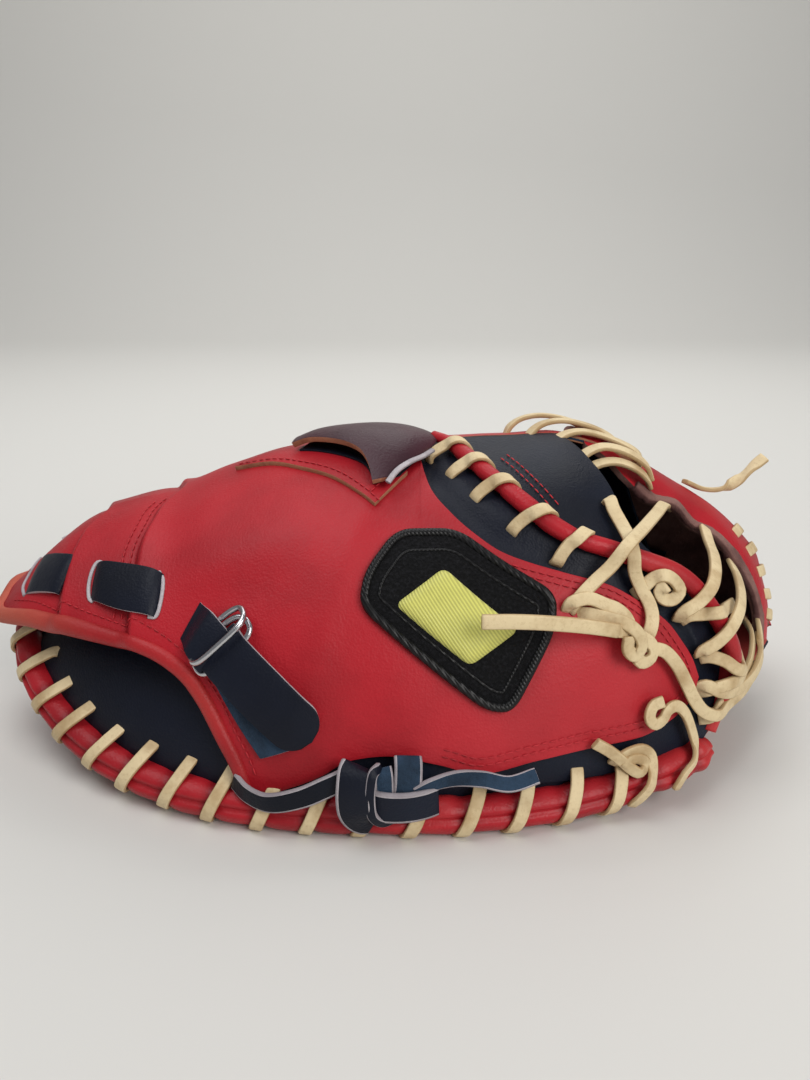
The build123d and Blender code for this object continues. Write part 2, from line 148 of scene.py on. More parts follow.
class Graph:
    """Node graph of one material, with a Principled shader at its end."""

    def __init__(self, name: str) -> None:
        """Makes the material with its shader and its object coordinates."""
        self.material = bpy.data.materials.new(name)
        self.material.use_nodes = True
        self.tree = self.material.node_tree
        self.tree.nodes.clear()
        self.shader = self.tree.nodes.new("ShaderNodeBsdfPrincipled")
        out = self.tree.nodes.new("ShaderNodeOutputMaterial")
        self.tree.links.new(self.shader.outputs[0], out.inputs["Surface"])
        self.coordinates = Sock(self, self.node("ShaderNodeTexCoord", {}).outputs["Object"])

    def put(self, socket: object, value: object) -> None:
        """Links or sets one input socket."""
        value = value.out if isinstance(value, Sock) else value
        if isinstance(value, bpy.types.NodeSocket):
            self.tree.links.new(value, socket)
        elif socket.type == "RGBA":
            socket.default_value = (*value[:3], 1.0)
        else:
            socket.default_value = value

    def node(self, kind: str, inputs: dict, **settings: object) -> bpy.types.Node:
        """Makes any node, sets its properties and fills its inputs by index or name."""
        made = self.tree.nodes.new(kind)
        for key, value in settings.items():
            setattr(made, key, value)
        for key, value in inputs.items():
            self.put(made.inputs[key], value)
        return made

    def noise(self, scale: float, detail: float = 4.0, rough: float = 0.55) -> Sock:
        """Soft cloudy pattern, about 0 to 1; scale counts features in a metre."""
        inputs = {"Vector": self.coordinates, "Scale": scale, "Detail": detail, "Roughness": rough}
        return Sock(self, self.node("ShaderNodeTexNoise", inputs).outputs[0])

    def cells(self, scale: float) -> Sock:
        """Distance to the nearest cell's centre: pebbles."""
        inputs = {"Vector": self.coordinates, "Scale": scale}
        return Sock(self, self.node("ShaderNodeTexVoronoi", inputs).outputs["Distance"])

    def axis(self, letter: str) -> Sock:
        """One of the object's own coordinates, in metres."""
        split = self.node("ShaderNodeSeparateXYZ", {0: self.coordinates})
        return Sock(self, split.outputs["XYZ".index(letter)])

    def attribute(self, name: str) -> Sock:
        """A number stored on the mesh."""
        return Sock(self, self.node("ShaderNodeAttribute", {}, attribute_name=name).outputs["Fac"])

    def mix(self, share: object, one: object, two: object) -> Sock:
        """Colour between two others."""
        inputs = {0: share, 6: one, 7: two}
        return Sock(self, self.node("ShaderNodeMix", inputs, data_type="RGBA").outputs[2])

    def bump(self, height: Sock, strength: float, distance: float) -> Sock:
        """Surface normal from a height."""
        inputs = {"Height": height, "Strength": strength, "Distance": distance}
        return Sock(self, self.node("ShaderNodeBump", inputs).outputs[0])

    def finish(self, **inputs: object) -> Material:
        """Fills the Principled shader's inputs, given with _ for each space."""
        for key, value in inputs.items():
            self.put(self.shader.inputs[key.replace("_", " ")], value)
        return self.material


@dataclass(frozen=True)
class LeatherFinish:
    """Grained, lightly rubbed leather, with painted shade in creases and painted highlights where the mesh's
    marks call for them.

    Args:
        name: the material's name.
        colour: the usual colour.
        deep: colour of the darker clouds, and of the painted shade in creases.
        pale: colour where it is rubbed or stretched, and of the painted highlights.
        rough: roughness of the surface.
        grain: how deep the grain is, 0 to 1.
        shine: strength of the reflection.
    """

    name: str
    colour: Point
    deep: Point
    pale: Point
    rough: float = 0.42
    grain: float = 0.45
    shine: float = 0.30

    def build(self) -> Material:
        """Returns the material."""
        g = Graph(self.name)
        cloud = g.noise(22.0, 3.0)
        fine = g.noise(420.0, 5.0, 0.65)
        pebble = g.cells(1100.0)
        tone = g.mix(0.35 + cloud.step(0.30, 0.62) * 0.65, self.deep, self.colour)
        tone = g.mix(g.noise(9.0, 2.0).step(0.50, 0.78) * 0.55, tone, self.pale)
        # painted shade: darker in the dips at the heel seams and where laces pinch the rolls
        tone = g.mix(g.attribute("crease") * 0.8, tone, self.deep)
        # real rubbing on the lip, and painted highlights on two bulges of the back panel
        tone = g.mix(g.attribute("worn") * (0.6 + fine * 0.6), tone, self.pale)
        height = pebble * 0.5 + fine * 0.8 + g.noise(120.0, 3.0) * 0.5
        return g.finish(
            Base_Color=tone,
            Roughness=self.rough + fine * 0.12 + g.attribute("worn") * 0.2,
            Normal=g.bump(height, self.grain, 0.0004),
            Specular_IOR_Level=self.shine,
        )


@dataclass(frozen=True)
class RawFinish:
    """Cut leather edge, suede or rawhide: matt and fibrous.

    Args:
        name: the material's name.
        colour: the usual colour.
        dark: colour of stains, fibres and edges.
        rough: roughness of the surface.
        nap: how deep the fibres are, 0 to 1.
    """

    name: str
    colour: Point
    dark: Point
    rough: float = 0.75
    nap: float = 0.6

    def build(self) -> Material:
        """Returns the material."""
        g = Graph(self.name)
        fibre = g.noise(650.0, 5.0, 0.7)
        stain = g.noise(55.0, 4.0, 0.6)
        tone = g.mix(stain.step(0.42, 0.75) * 0.8, self.colour, self.dark)
        tone = g.mix(fibre.step(0.50, 0.72) * 0.35, tone, self.dark)
        tone = g.mix(g.attribute("edge") * (0.45 + stain * 0.6), tone, self.dark)
        return g.finish(
            Base_Color=tone,
            Roughness=self.rough,
            Normal=g.bump(fibre + g.noise(1800.0) * 0.4, self.nap, 0.0005),
            Specular_IOR_Level=0.35,
        )


@dataclass(frozen=True)
class FeltFinish:
    """Pressed wool or pile: matt, with a faint sheen and a curled nap."""

    name: str
    colour: Point
    pale: Point
    sheen: float = 0.25

    def build(self) -> Material:
        """Returns the material."""
        g = Graph(self.name)
        pile = g.noise(900.0, 4.0, 0.7)
        curl = g.cells(650.0)
        tone = g.mix(pile.step(0.45, 0.7), self.colour, self.pale)
        return g.finish(
            Base_Color=tone,
            Roughness=0.95,
            Sheen_Weight=self.sheen,
            Sheen_Roughness=0.5,
            Specular_IOR_Level=0.2,
            Normal=g.bump(pile + curl * 0.7, 0.9, 0.0009),
        )


@dataclass(frozen=True)
class ThreadFinish:
    """Embroidery thread laid side by side, or a sewing thread."""

    name: str
    colour: Point
    pitch: float = 0.0009
    sheen: float = 0.2

    def build(self) -> Material:
        """Returns the material."""
        g = Graph(self.name)
        along = g.axis("X") * 0.80 + g.axis("Z") * 0.60
        ridge = (along * (2 * math.pi / self.pitch)).wave() * 0.5 + 0.5
        # painted shade: the grooves between the threads are darker, following the bump's ridges
        dark = tuple(c * 0.55 for c in self.colour)
        tone = g.mix(ridge * 0.7 + g.noise(300.0) * 0.3, dark, self.colour)
        return g.finish(
            Base_Color=tone,
            Roughness=0.38,
            Normal=g.bump(ridge, 0.5, 0.0003),
            Sheen_Weight=self.sheen,
            Specular_IOR_Level=0.3,
        )


@dataclass(frozen=True)
class MetalFinish:
    """Bright plated wire."""

    name: str
    colour: Point

    def build(self) -> Material:
        """Returns the material."""
        g = Graph(self.name)
        smear = g.noise(400.0, 4.0)
        return g.finish(Base_Color=self.colour, Metallic=1.0, Roughness=0.14 + smear * 0.16)


@dataclass(frozen=True)
class PlainFinish:
    """Even surface for the floor."""

    name: str
    colour: Point
    rough: float = 0.8

    def build(self) -> Material:
        """Returns the material."""
        return Graph(self.name).finish(Base_Color=self.colour, Roughness=self.rough)


def painted(finish: object) -> object:
    """Field of a dataclass that holds the finish's material."""
    return field(default_factory=finish.build)


@dataclass
class Finishes:
    """Every material, each built once."""

    red: Material = painted(
        LeatherFinish("leather_red", (0.42, 0.010, 0.019), (0.25, 0.005, 0.010), (0.58, 0.045, 0.055))
    )
    # painted light: a little lighter than the back's red, to make up for the shade that the roll lies in
    roll: Material = painted(
        LeatherFinish(
            "leather_red_roll", (0.44, 0.013, 0.022), (0.20, 0.006, 0.010), (0.58, 0.07, 0.06), 0.36
        )
    )
    lip: Material = painted(
        LeatherFinish(
            "leather_red_lip", (0.38, 0.016, 0.020), (0.20, 0.008, 0.009), (0.46, 0.10, 0.06), 0.40
        )
    )
    navy: Material = painted(
        LeatherFinish(
            "leather_navy", (0.006, 0.008, 0.017), (0.002, 0.003, 0.007), (0.014, 0.024, 0.048),
            0.42, 0.45, 0.20,
        )
    )
    palm: Material = painted(
        LeatherFinish("leather_palm", (0.34, 0.020, 0.022), (0.16, 0.008, 0.009), (0.50, 0.09, 0.07), 0.45)
    )
    hood: Material = painted(
        LeatherFinish(
            "leather_hood", (0.060, 0.018, 0.028), (0.025, 0.009, 0.014), (0.13, 0.055, 0.075), 0.36
        )
    )
    lace: Material = painted(RawFinish("rawhide", (0.72, 0.58, 0.35), (0.40, 0.26, 0.12), 0.62, 0.5))
    tan_edge: Material = painted(RawFinish("edge_tan", (0.42, 0.20, 0.11), (0.20, 0.07, 0.04), 0.85, 0.9))
    pale_edge: Material = painted(
        RawFinish("edge_pale", (0.50, 0.46, 0.48), (0.25, 0.22, 0.24), 0.85, 0.9)
    )
    suede: Material = painted(
        RawFinish("suede_brown", (0.24, 0.125, 0.105), (0.09, 0.035, 0.033), 0.9, 1.0)
    )
    blue_suede: Material = painted(
        RawFinish("suede_blue", (0.022, 0.048, 0.088), (0.005, 0.012, 0.024), 0.9, 1.0)
    )
    wool: Material = painted(FeltFinish("wool_felt", (0.55, 0.53, 0.48), (0.70, 0.68, 0.62)))
    patch: Material = painted(
        FeltFinish("felt_black", (0.0025, 0.0025, 0.003), (0.010, 0.010, 0.012), 0.03)
    )
    border: Material = painted(ThreadFinish("thread_black", (0.004, 0.004, 0.0045), 0.0012, 0.02))
    emblem: Material = painted(ThreadFinish("thread_lime", (0.72, 0.70, 0.17), 0.0011))
    thread: Material = painted(RawFinish("thread_red", (0.50, 0.02, 0.03), (0.26, 0.01, 0.015), 0.6, 0.4))
    chrome: Material = painted(MetalFinish("chrome", (0.55, 0.55, 0.57)))


# ---------------------------------------------------------------- curves and the mitt's shape
class Profile:
    """Smooth curve through (x, value) pairs that never overshoots them."""

    def __init__(self, *pairs: Point) -> None:
        """Works out the slopes, flat wherever the values turn back."""
        self.x = np.array([p[0] for p in pairs], float)
        self.y = np.array([p[1] for p in pairs], float)
        gap, slope = np.diff(self.x), np.diff(self.y) / np.diff(self.x)
        inner = np.zeros(len(self.x))
        for i in range(1, len(self.x) - 1):
            if slope[i - 1] * slope[i] > 0:
                a, b = 2 * gap[i] + gap[i - 1], gap[i] + 2 * gap[i - 1]
                inner[i] = (a + b) / (a / slope[i - 1] + b / slope[i])
        inner[0], inner[-1] = slope[0], slope[-1]
        self.gap, self.m = gap, inner

    def __call__(self, x: object) -> Array:
        """Value at x, held at the first and last pair."""
        x = np.clip(np.asarray(x, float), self.x[0], self.x[-1])
        i = np.clip(np.searchsorted(self.x, x, side="right") - 1, 0, len(self.gap) - 1)
        h = self.gap[i]
        t = (x - self.x[i]) / h
        a, b = self.y[i], self.y[i + 1]
        return (
            (2 * t**3 - 3 * t**2 + 1) * a
            + (t**3 - 2 * t**2 + t) * h * self.m[i]
            + (3 * t**2 - 2 * t**3) * b
            + (t**3 - t**2) * h * self.m[i + 1]
        )


def ease(value: object, low: float, high: float) -> Array:
    """Smooth rise from 0 at low to 1 at high."""
    t = np.clip((np.asarray(value, float) - low) / (high - low), 0, 1)
    return t * t * (3 - 2 * t)


def hill(value: object, centre: float, width: float) -> Array:
    """Bell curve of height 1."""
    return np.exp(-(((np.asarray(value, float) - centre) / width) ** 2))


def run_along(path: Array) -> Array:
    """Distance from the line's start to each of its points."""
    return np.concatenate([[0], np.cumsum(np.linalg.norm(np.diff(path, axis=0), axis=1))])


def read_at(marks: Array, run: Array, values: Array) -> Array:
    """Columns of values known at run, read off at the marks."""
    return np.stack([np.interp(marks, run, values[:, k]) for k in range(values.shape[1])], 1)


def resample(line: Array, count: int) -> Array:
    """The same line as count points at equal distances."""
    run = run_along(line)
    return read_at(np.linspace(0, run[-1], count), run, line)


def evenly(path: Array, step: float) -> Array:
    """The same line with a point about every step."""
    return resample(path, max(3, int(run_along(path)[-1] / step) + 1))


def spread(path: Array, count: int) -> Array:
    """The same line as count points, at equal shares of its list of points."""
    return read_at(np.linspace(0, 1, count), np.linspace(0, 1, len(path)), path)


def relax(path: Array, rounds: int) -> None:
    """Smooths a line in place, with its two ends held."""
    for _ in range(rounds):
        path[1:-1] = (path[:-2] + 2 * path[1:-1] + path[2:]) / 4


def spline(points: Sequence[Point], step: float = 1.5) -> Array:
    """Smooth curve through points, of the centripetal kind, which makes no loops of its own.

    Args:
        points: places that the curve passes through, in millimetres.
        step: distance between the curve's own points.

    Returns:
        The curve's points at equal distances.
    """
    p = np.array(points, float)
    if len(p) == 2:
        count = max(2, int(np.linalg.norm(p[1] - p[0]) / step) + 1)
        return p[0] + (p[1] - p[0]) * np.linspace(0, 1, count)[:, None]
    knots = np.concatenate([[0], np.cumsum(np.linalg.norm(np.diff(p, axis=0), axis=1) ** 0.5)])
    ghost = np.vstack([2 * p[0] - p[1], p, 2 * p[-1] - p[-2]])
    times = np.concatenate([[-knots[1]], knots, [2 * knots[-1] - knots[-2]]])
    dense = []
    pieces = 24
    for i in range(1, len(ghost) - 2):
        t0, t1, t2, t3 = times[i - 1 : i + 3]
        for t in np.linspace(t1, t2, pieces, endpoint=False):
            a1 = (t1 - t) / (t1 - t0) * ghost[i - 1] + (t - t0) / (t1 - t0) * ghost[i]
            a2 = (t2 - t) / (t2 - t1) * ghost[i] + (t - t1) / (t2 - t1) * ghost[i + 1]
            a3 = (t3 - t) / (t3 - t2) * ghost[i + 1] + (t - t2) / (t3 - t2) * ghost[i + 2]
            b1 = (t2 - t) / (t2 - t0) * a1 + (t - t0) / (t2 - t0) * a2
            b2 = (t3 - t) / (t3 - t1) * a2 + (t - t1) / (t3 - t1) * a3
            dense.append((t2 - t) / (t2 - t1) * b1 + (t - t1) / (t2 - t1) * b2)
    dense.append(p[-1])
    return evenly(np.array(dense), step)


def unit(v: Array) -> Array:
    """Vectors of length 1."""
    v = np.asarray(v, float)
    return v / np.maximum(np.linalg.norm(v, axis=-1, keepdims=True), 1e-9)


class MittShape:
    """Outer surface of the mitt's back: an arch over the rim, swept from wrist to web."""

    middle_x = 5.0  # the widest place
    widest = 100.0  # half the width there
    heel_reach = 182.0  # from the widest place back to where the arch closes
    roll_reach = 165.0  # the same for the roll that the mitt rests on
    web_reach = 173.0  # from the widest place on to the web's end
    lip_end_x = -49.5  # where the wrist opening's lip meets the rim
    crown = Profile(
        (-176, 44), (-172, 50), (-168, 57), (-158, 67), (-143, 80), (-124, 93), (-102, 101),
        (-86, 104.5), (-68, 112), (-45, 119), (-20, 124), (17, 126), (50, 128.5), (68, 129),
        (96, 121), (120, 107), (145, 90), (162, 74), (172, 58), (177, 42),
    )
    lip_line = Profile(
        (-169.5, 55.5), (-167.5, 55.6), (-163, 56.5), (-152, 59.5), (-139, 62.5), (-118, 64),
        (-100, 63.5), (-86, 61.6), (-73, 56.5), (-65, 48), (-57.5, 35), (-52, 24), (-49.5, 15),
    )
    foot_line = Profile(
        (-49.5, 15), (-42, 16), (-33, 19), (-22, 24), (-12, 30), (3, 32), (20, 29), (35, 25),
        (56, 28.5), (75, 31), (95, 31.8), (107, 35.2), (113, 38.5), (117, 42.5), (119.3, 49),
    )
    crotch_line = Profile(
        (13, 126), (15, 121), (17.8, 115.5), (25, 109.3), (33, 103.8), (43, 98.2), (54, 94.4),
        (65, 91.2), (83, 85.4), (94.5, 78.8), (106, 70.4), (112, 63), (116.5, 56), (119.3, 49),
    )
    edge_b = Profile(
        (74, 128.5), (79, 126), (84, 121), (88, 115), (93, 104), (98, 96.5), (107, 89.5), (116, 82),
        (124, 72), (130, 62), (134.5, 52), (136, 44), (137.5, 32),
    )

    def share(self, x: object, reach: float) -> Array:
        """How far x is from the widest place, 0 to 1; reach is the length towards the heel."""
        away = np.asarray(x, float) - self.middle_x
        return np.clip(np.where(away < 0, -away / reach, away / self.web_reach), 0, 1)

    def half_width(self, x: object, reach: float = heel_reach) -> Array:
        """Half the width at x."""
        return self.widest * np.maximum(0.0, 1 - self.share(x, reach) ** 2.2) ** 0.6

    def rim(self, x: object) -> Array:
        """Height of the roll's centre at x, which rises to both ends."""
        share = self.share(x, self.roll_reach)
        return 7.3 + np.where(np.asarray(x, float) < self.middle_x, 34 * share**4.5, 30 * share**3)

    @staticmethod
    def seams(near: Array) -> tuple:
        """Where the two heel seams run, as x at each angle from the nearer rim."""
        one = -96.5 + 3.0 * ease(near, 58, 76) + 6.0 * ease(near, 74, 92)
        return one, -128.0 + 2.0 * ease(near, 60, 72) + 6.0 * ease(near, 72, 92)

    def relief(self, x: object, angle: object) -> Array:
        """How far the stuffed leather stands above the plain arch."""
        x, a = np.asarray(x, float), np.asarray(angle, float)
        near = np.where(a > 90, 180 - a, a)
        thumb = ease(100 - a, 0, 20)
        up = ease(near, 18, 42)
        rise = 0.0
        for line, high, reach in zip(self.seams(near), (4.2, 3.4), (22, 12)):
            after, before = np.maximum(x - line, 0), np.maximum(line - x, 0)
            soft = 1 - 0.55 * ease(near, 62, 88)
            rise = rise + up * soft * high * np.exp(-after / reach) * ease(x, line - 1.2, line + 2.8)
            rise = rise - up * soft * 1.3 * np.exp(-before / 5) * ease(line - x, -2.0, 1.2)
        body = 2.0 * hill(x, -35, 34) * hill(near, 55, 26) + 1.8 * hill(x, 88, 30) * hill(near, 34, 16)
        body -= 2.0 * hill(x, -66, 15) * hill(near, 28, 16) * thumb
        body -= 1.5 * hill(x, 38, 34) * hill(near, 78, 12)
        fold = 1.1 * hill(near - 58 - x * 0.10, 0, 6) * hill(x, -45, 30)
        fold -= 0.9 * hill(near - 48 - x * 0.10, 0, 6) * hill(x, -50, 28)
        fold += 0.9 * hill(x - near * 0.5, -38, 6) * hill(near, 50, 22) * thumb
        waves = 0.5 * np.sin(x * 0.061 + near * 0.09) * np.sin(near * 0.11 - x * 0.02)
        waves += 0.22 * np.sin(x * 0.17 - near * 0.12) * np.sin(near * 0.21 + x * 0.05)
        pinch = -1.8 * hill(x, -8, 18) * hill(near, 16, 9) * thumb
        return rise + body + fold + waves + pinch

    def at(self, x: object, angle: object, proud: object = 0.0, relief: float = 1.0) -> Array:
        """Points on the surface.

        Args:
            x: places along the mitt.
            angle: degrees round the arch: 0 is the thumb's rim, 90 the crown, 180 the far rim.
            proud: height above the leather.
            relief: how much of the stuffed leather's relief is followed.

        Returns:
            An array of points, in millimetres.
        """
        x, a = np.broadcast_arrays(np.asarray(x, float), np.asarray(angle, float))
        out = proud + (self.relief(x, a) * relief if relief else 0.0)
        wide = self.half_width(x) + out
        high = self.crown(x) - self.rim(x) + out
        r = np.radians(a)
        return np.stack([x, -wide * np.cos(r), self.rim(x) + high * np.sin(r)], -1)

    def normal(self, x: object, angle: object, relief: float = 1.0) -> Array:
        """Outward direction of the surface."""
        d = 0.4  # small step, in millimetres and in degrees
        x, angle = np.asarray(x), np.asarray(angle)
        du = self.at(x + d, angle, 0, relief) - self.at(x - d, angle, 0, relief)
        dv = self.at(x, angle + d, 0, relief) - self.at(x, angle - d, 0, relief)
        return unit(np.cross(dv, du)) * -1

    def angle(self, x: object, z: object) -> Array:
        """Angle on the thumb's side at a height z."""
        share = (np.asarray(z, float) - self.rim(x)) / np.maximum(self.crown(x) - self.rim(x), 1e-3)
        return np.degrees(np.arcsin(np.clip(share, 0, 1)))

    def outward(self, points: Array) -> Array:
        """Outward direction of the plain arch beside any points in space."""
        p = np.asarray(points, float)
        base = self.rim(p[:, 0])
        high = np.maximum(self.crown(p[:, 0]) - base, 10)
        wide = np.maximum(self.half_width(p[:, 0]), 10)
        return unit(np.stack([0 * base, p[:, 1] / wide**2, (p[:, 2] - base) / high**2], -1))

    def on(self, pairs: Sequence[Point], proud: float, step: float = 1.5) -> tuple:
        """Line on the thumb's side of the surface.

        Args:
            pairs: (x, z) places that it passes through.
            proud: height above the leather.
            step: distance between its points.

        Returns:
            Its points and the outward direction at each.
        """
        flat = spline(pairs, step)
        a = self.angle(flat[:, 0], flat[:, 1])
        return self.at(flat[:, 0], a, proud), self.normal(flat[:, 0], a)


SHAPE = MittShape()


# ---------------------------------------------------------------- meshes
@dataclass
class Build:
    """Collects faces in millimetres and turns them into an object in metres."""

    points: list = field(default_factory=list)
    faces: list = field(default_factory=list)
    slots: list = field(default_factory=list)
    marks: dict = field(default_factory=dict)

    def add(self, points: Array, faces: Iterable, slot: object = 0, **marks: object) -> None:
        """Adds vertices and faces.

        Args:
            points: the vertices.
            faces: vertex numbers of each face, counted from this call's first vertex.
            slot: material index, or a list with one for each face.
            marks: numbers stored on the vertices, by name.
        """
        base, count = len(self.points), len(points)
        self.points.extend(np.asarray(points, float).reshape(-1, 3).tolist())
        faces = list(faces)
        self.faces.extend([base + i for i in f] for f in faces)
        self.slots.extend(slot if isinstance(slot, list) else [slot] * len(faces))
        for name in set(marks) | set(self.marks):
            held = self.marks.setdefault(name, [0.0] * base)
            value = marks.get(name, 0.0)
            held.extend(np.broadcast_to(np.asarray(value, float).ravel(), (count,)).tolist())

    def grid(self, p: Array, slot: object = 0, loop: bool = False, **marks: object) -> None:
        """Adds a sheet of quads from an array of rows by columns by 3."""
        rows, cols = p.shape[:2]
        faces = []
        for i in range(rows - 1):
            for j in range(cols if loop else cols - 1):
                k = (j + 1) % cols
                faces.append((i * cols + j, i * cols + k, (i + 1) * cols + k, (i + 1) * cols + j))
        self.add(p.reshape(-1, 3), faces, slot, **marks)

    def to_object(self, name: str, *materials: Material, weld: float = 0.004) -> Object:
        """Makes the object, welds its seams and turns its faces outward.

        Args:
            name: the object's name.
            materials: its materials, in the order of the faces' slots.
            weld: distance within which two vertices become one.

        Returns:
            The object, linked to the scene.
        """
        mesh = bpy.data.meshes.new(name)
        mesh.from_pydata((np.array(self.points) * MM).tolist(), [], self.faces)
        for material in materials:
            mesh.materials.append(material)
        for polygon, slot in zip(mesh.polygons, self.slots):
            polygon.material_index = slot
        for mark, values in self.marks.items():
            mesh.attributes.new(mark, "FLOAT", "POINT").data.foreach_set("value", values)
        work = bmesh.new()
        work.from_mesh(mesh)
        bmesh.ops.remove_doubles(work, verts=work.verts, dist=weld * MM)
        bmesh.ops.dissolve_degenerate(work, edges=work.edges, dist=0.002 * MM)
        bmesh.ops.recalc_face_normals(work, faces=work.faces)
        work.to_mesh(mesh)
        work.free()
        mesh.polygons.foreach_set("use_smooth", [True] * len(mesh.polygons))
        return put_in_scene(name, mesh)


def put_in_scene(name: str, data: bpy.types.ID) -> Object:
    """Makes an object of a mesh, lamp or camera and links it to the scene."""
    made = bpy.data.objects.new(name, data)
    bpy.context.scene.collection.objects.link(made)
    return made


def flatten(obj: Object) -> Object:
    """Replaces the object's mesh by what its modifiers make, and removes them."""
    graph = bpy.context.evaluated_depsgraph_get()
    mesh = bpy.data.meshes.new_from_object(obj.evaluated_get(graph), depsgraph=graph)
    obj.modifiers.clear()
    obj.data = mesh
    mesh.name = obj.name
    mesh.polygons.foreach_set("use_smooth", [True] * len(mesh.polygons))
    return obj


def thicken(
    obj: Object, thick: float, edge_slot: int, bevel: float = 0.55, flesh_slot: int = 0
) -> Object:
    """Gives a leather sheet its thickness, inward.

    Args:
        obj: the open sheet, its faces outward.
        thick: thickness in millimetres.
        edge_slot: material index of the cut edge.
        bevel: how far the edge is rounded off.
        flesh_slot: how many slots further the inner side's material is.

    Returns:
        The same object with a plain closed mesh.
    """
    solid = obj.modifiers.new("thickness", "SOLIDIFY")
    solid.thickness, solid.offset = thick * MM, -1.0
    solid.use_rim, solid.material_offset_rim, solid.material_offset = True, edge_slot, flesh_slot
    round_off = obj.modifiers.new("edge", "BEVEL")
    round_off.width, round_off.segments = bevel * MM, 2
    round_off.limit_method, round_off.angle_limit = "ANGLE", math.radians(50)
    round_off.use_clamp_overlap = True
    return flatten(obj)


def turn_outward(obj: Object, inside: Point) -> None:
    """Flips an open sheet whose faces look towards a point instead of away from it."""
    mesh = obj.data
    centre = Vector(inside) * MM
    score = sum((p.center - centre).normalized().dot(p.normal) * p.area for p in mesh.polygons)
    if score < 0:
        mesh.flip_normals()


def leather_sheet(
    build: Build,
    name: str,
    face: Material,
    edge: Material | None,
    thick: float,
    bevel: float = 0.55,
    inside: Point = CORE,
    weld: float = 0.004,
    rough_back: bool = False,
) -> Object:
    """Makes a sheet of leather or felt from its outer surface.

    Args:
        build: the outer surface.
        name: the object's name.
        face: the outer side's material.
        edge: the cut edge's material, or None for the same as the face.
        thick: thickness in millimetres.
        bevel: how far the edge is rounded off.
        inside: a point that the outer side faces away from.
        weld: distance within which two vertices become one.
        rough_back: whether the inner side has the edge's material.

    Returns:
        The closed sheet.
    """
    made = build.to_object(name, *([face, edge] if edge else [face]), weld=weld)
    turn_outward(made, inside)
    return thicken(made, thick, 1 if edge else 0, bevel, int(rough_back))


def frames(path: Array, ups: Array) -> tuple:
    """Tangent, side and up directions along a line."""
    tangent = unit(np.gradient(path, axis=0))
    side = unit(np.cross(tangent, ups))
    return tangent, side, np.cross(side, tangent)


def ring_section(count: int, wide: float, thick: float, square: float) -> Array:
    """Closed outline of a lace or roll, from round (square 1) to boxy (square 0.3)."""
    t = np.linspace(0, 2 * math.pi, count, endpoint=False)
    c, s = np.cos(t), np.sin(t)
    side, up = (np.sign(v) * np.abs(v) ** square * size / 2 for v, size in ((c, wide), (s, thick)))
    return np.stack([side, up], 1)


def sweep(
    build: Build,
    path: Array,
    ups: Array,
    section: Array,
    slot: object = 0,
    scale: object = 1.0,
    edge_slot: int | None = None,
    closed: bool = False,
    **marks: object,
) -> None:
    """Adds a closed tube of any section along a line.

    Args:
        build: where the faces go.
        path: the centre line.
        ups: the direction of the section's second axis at each point.
        section: outline as (side, up) pairs.
        slot: material index.
        scale: one number, one for each point, or one (side, up) pair for each point.
        edge_slot: material index for the section's narrow sides.
        closed: whether the line joins its own start.
        marks: numbers stored on the vertices, one for each point of the line.
    """
    count, n = len(path), len(section)
    if closed:
        wrapped = np.vstack([path[-1:], path, path[:1]])
        tangent = unit(np.gradient(wrapped, axis=0))[1:-1]
        side = unit(np.cross(tangent, ups))
        up = np.cross(side, tangent)
    else:
        _, side, up = frames(path, ups)
    size = np.asarray(scale, float)
    narrow_from, cap_size, cap_depth = 0.86, 0.7, 0.12  # shares of the section's and the last step's size
    size = np.ones((count, 2)) * (size[:, None] if size.ndim == 1 else size)
    rows = (
        path[:, None, :]
        + side[:, None, :] * (section[None, :, 0] * size[:, 0:1])[..., None]
        + up[:, None, :] * (section[None, :, 1] * size[:, 1:2])[..., None]
    )
    wide = np.abs(section[:, 0]).max()
    around = []
    for j in range(n):
        middle = (section[j, 0] + section[(j + 1) % n, 0]) / 2
        narrow = edge_slot is not None and abs(middle) > narrow_from * wide
        around.append(edge_slot if narrow else slot)
    faces, slots = [], []
    for i in range(count if closed else count - 1):
        k = (i + 1) % count
        for j in range(n):
            m = (j + 1) % n
            faces.append((i * n + j, i * n + m, k * n + m, k * n + j))
            slots.append(around[j])
    points = rows.reshape(-1, 3)
    stored = {}
    for name, value in marks.items():
        stored[name] = np.repeat(np.broadcast_to(np.asarray(value, float), (count,)), n)
    stored["edge"] = np.tile((np.abs(section[:, 0]) > 0.90 * wide).astype(float), count)
    if not closed:
        ends = []
        for row, at_end in ((0, rows[0]), (count - 1, rows[-1])):
            inner = at_end.mean(0) + (at_end - at_end.mean(0)) * cap_size
            inner += (path[row] - path[1 if row == 0 else count - 2]) * cap_depth
            ends.append((row, inner))
        for row, inner in ends:
            base = len(points)
            points = np.vstack([points, inner])
            for name in stored:
                last = 1.0 if name == "edge" else stored[name][row * n]
                stored[name] = np.concatenate([stored[name], np.repeat(last, n)])
            for j in range(n):
                m = (j + 1) % n
                faces.append((row * n + j, row * n + m, base + m, base + j))
                slots.append(slot if edge_slot is None else edge_slot)
            faces.append(tuple(range(base, base + n)))
            slots.append(slot if edge_slot is None else edge_slot)
    build.add(points, faces, slots, **stored)


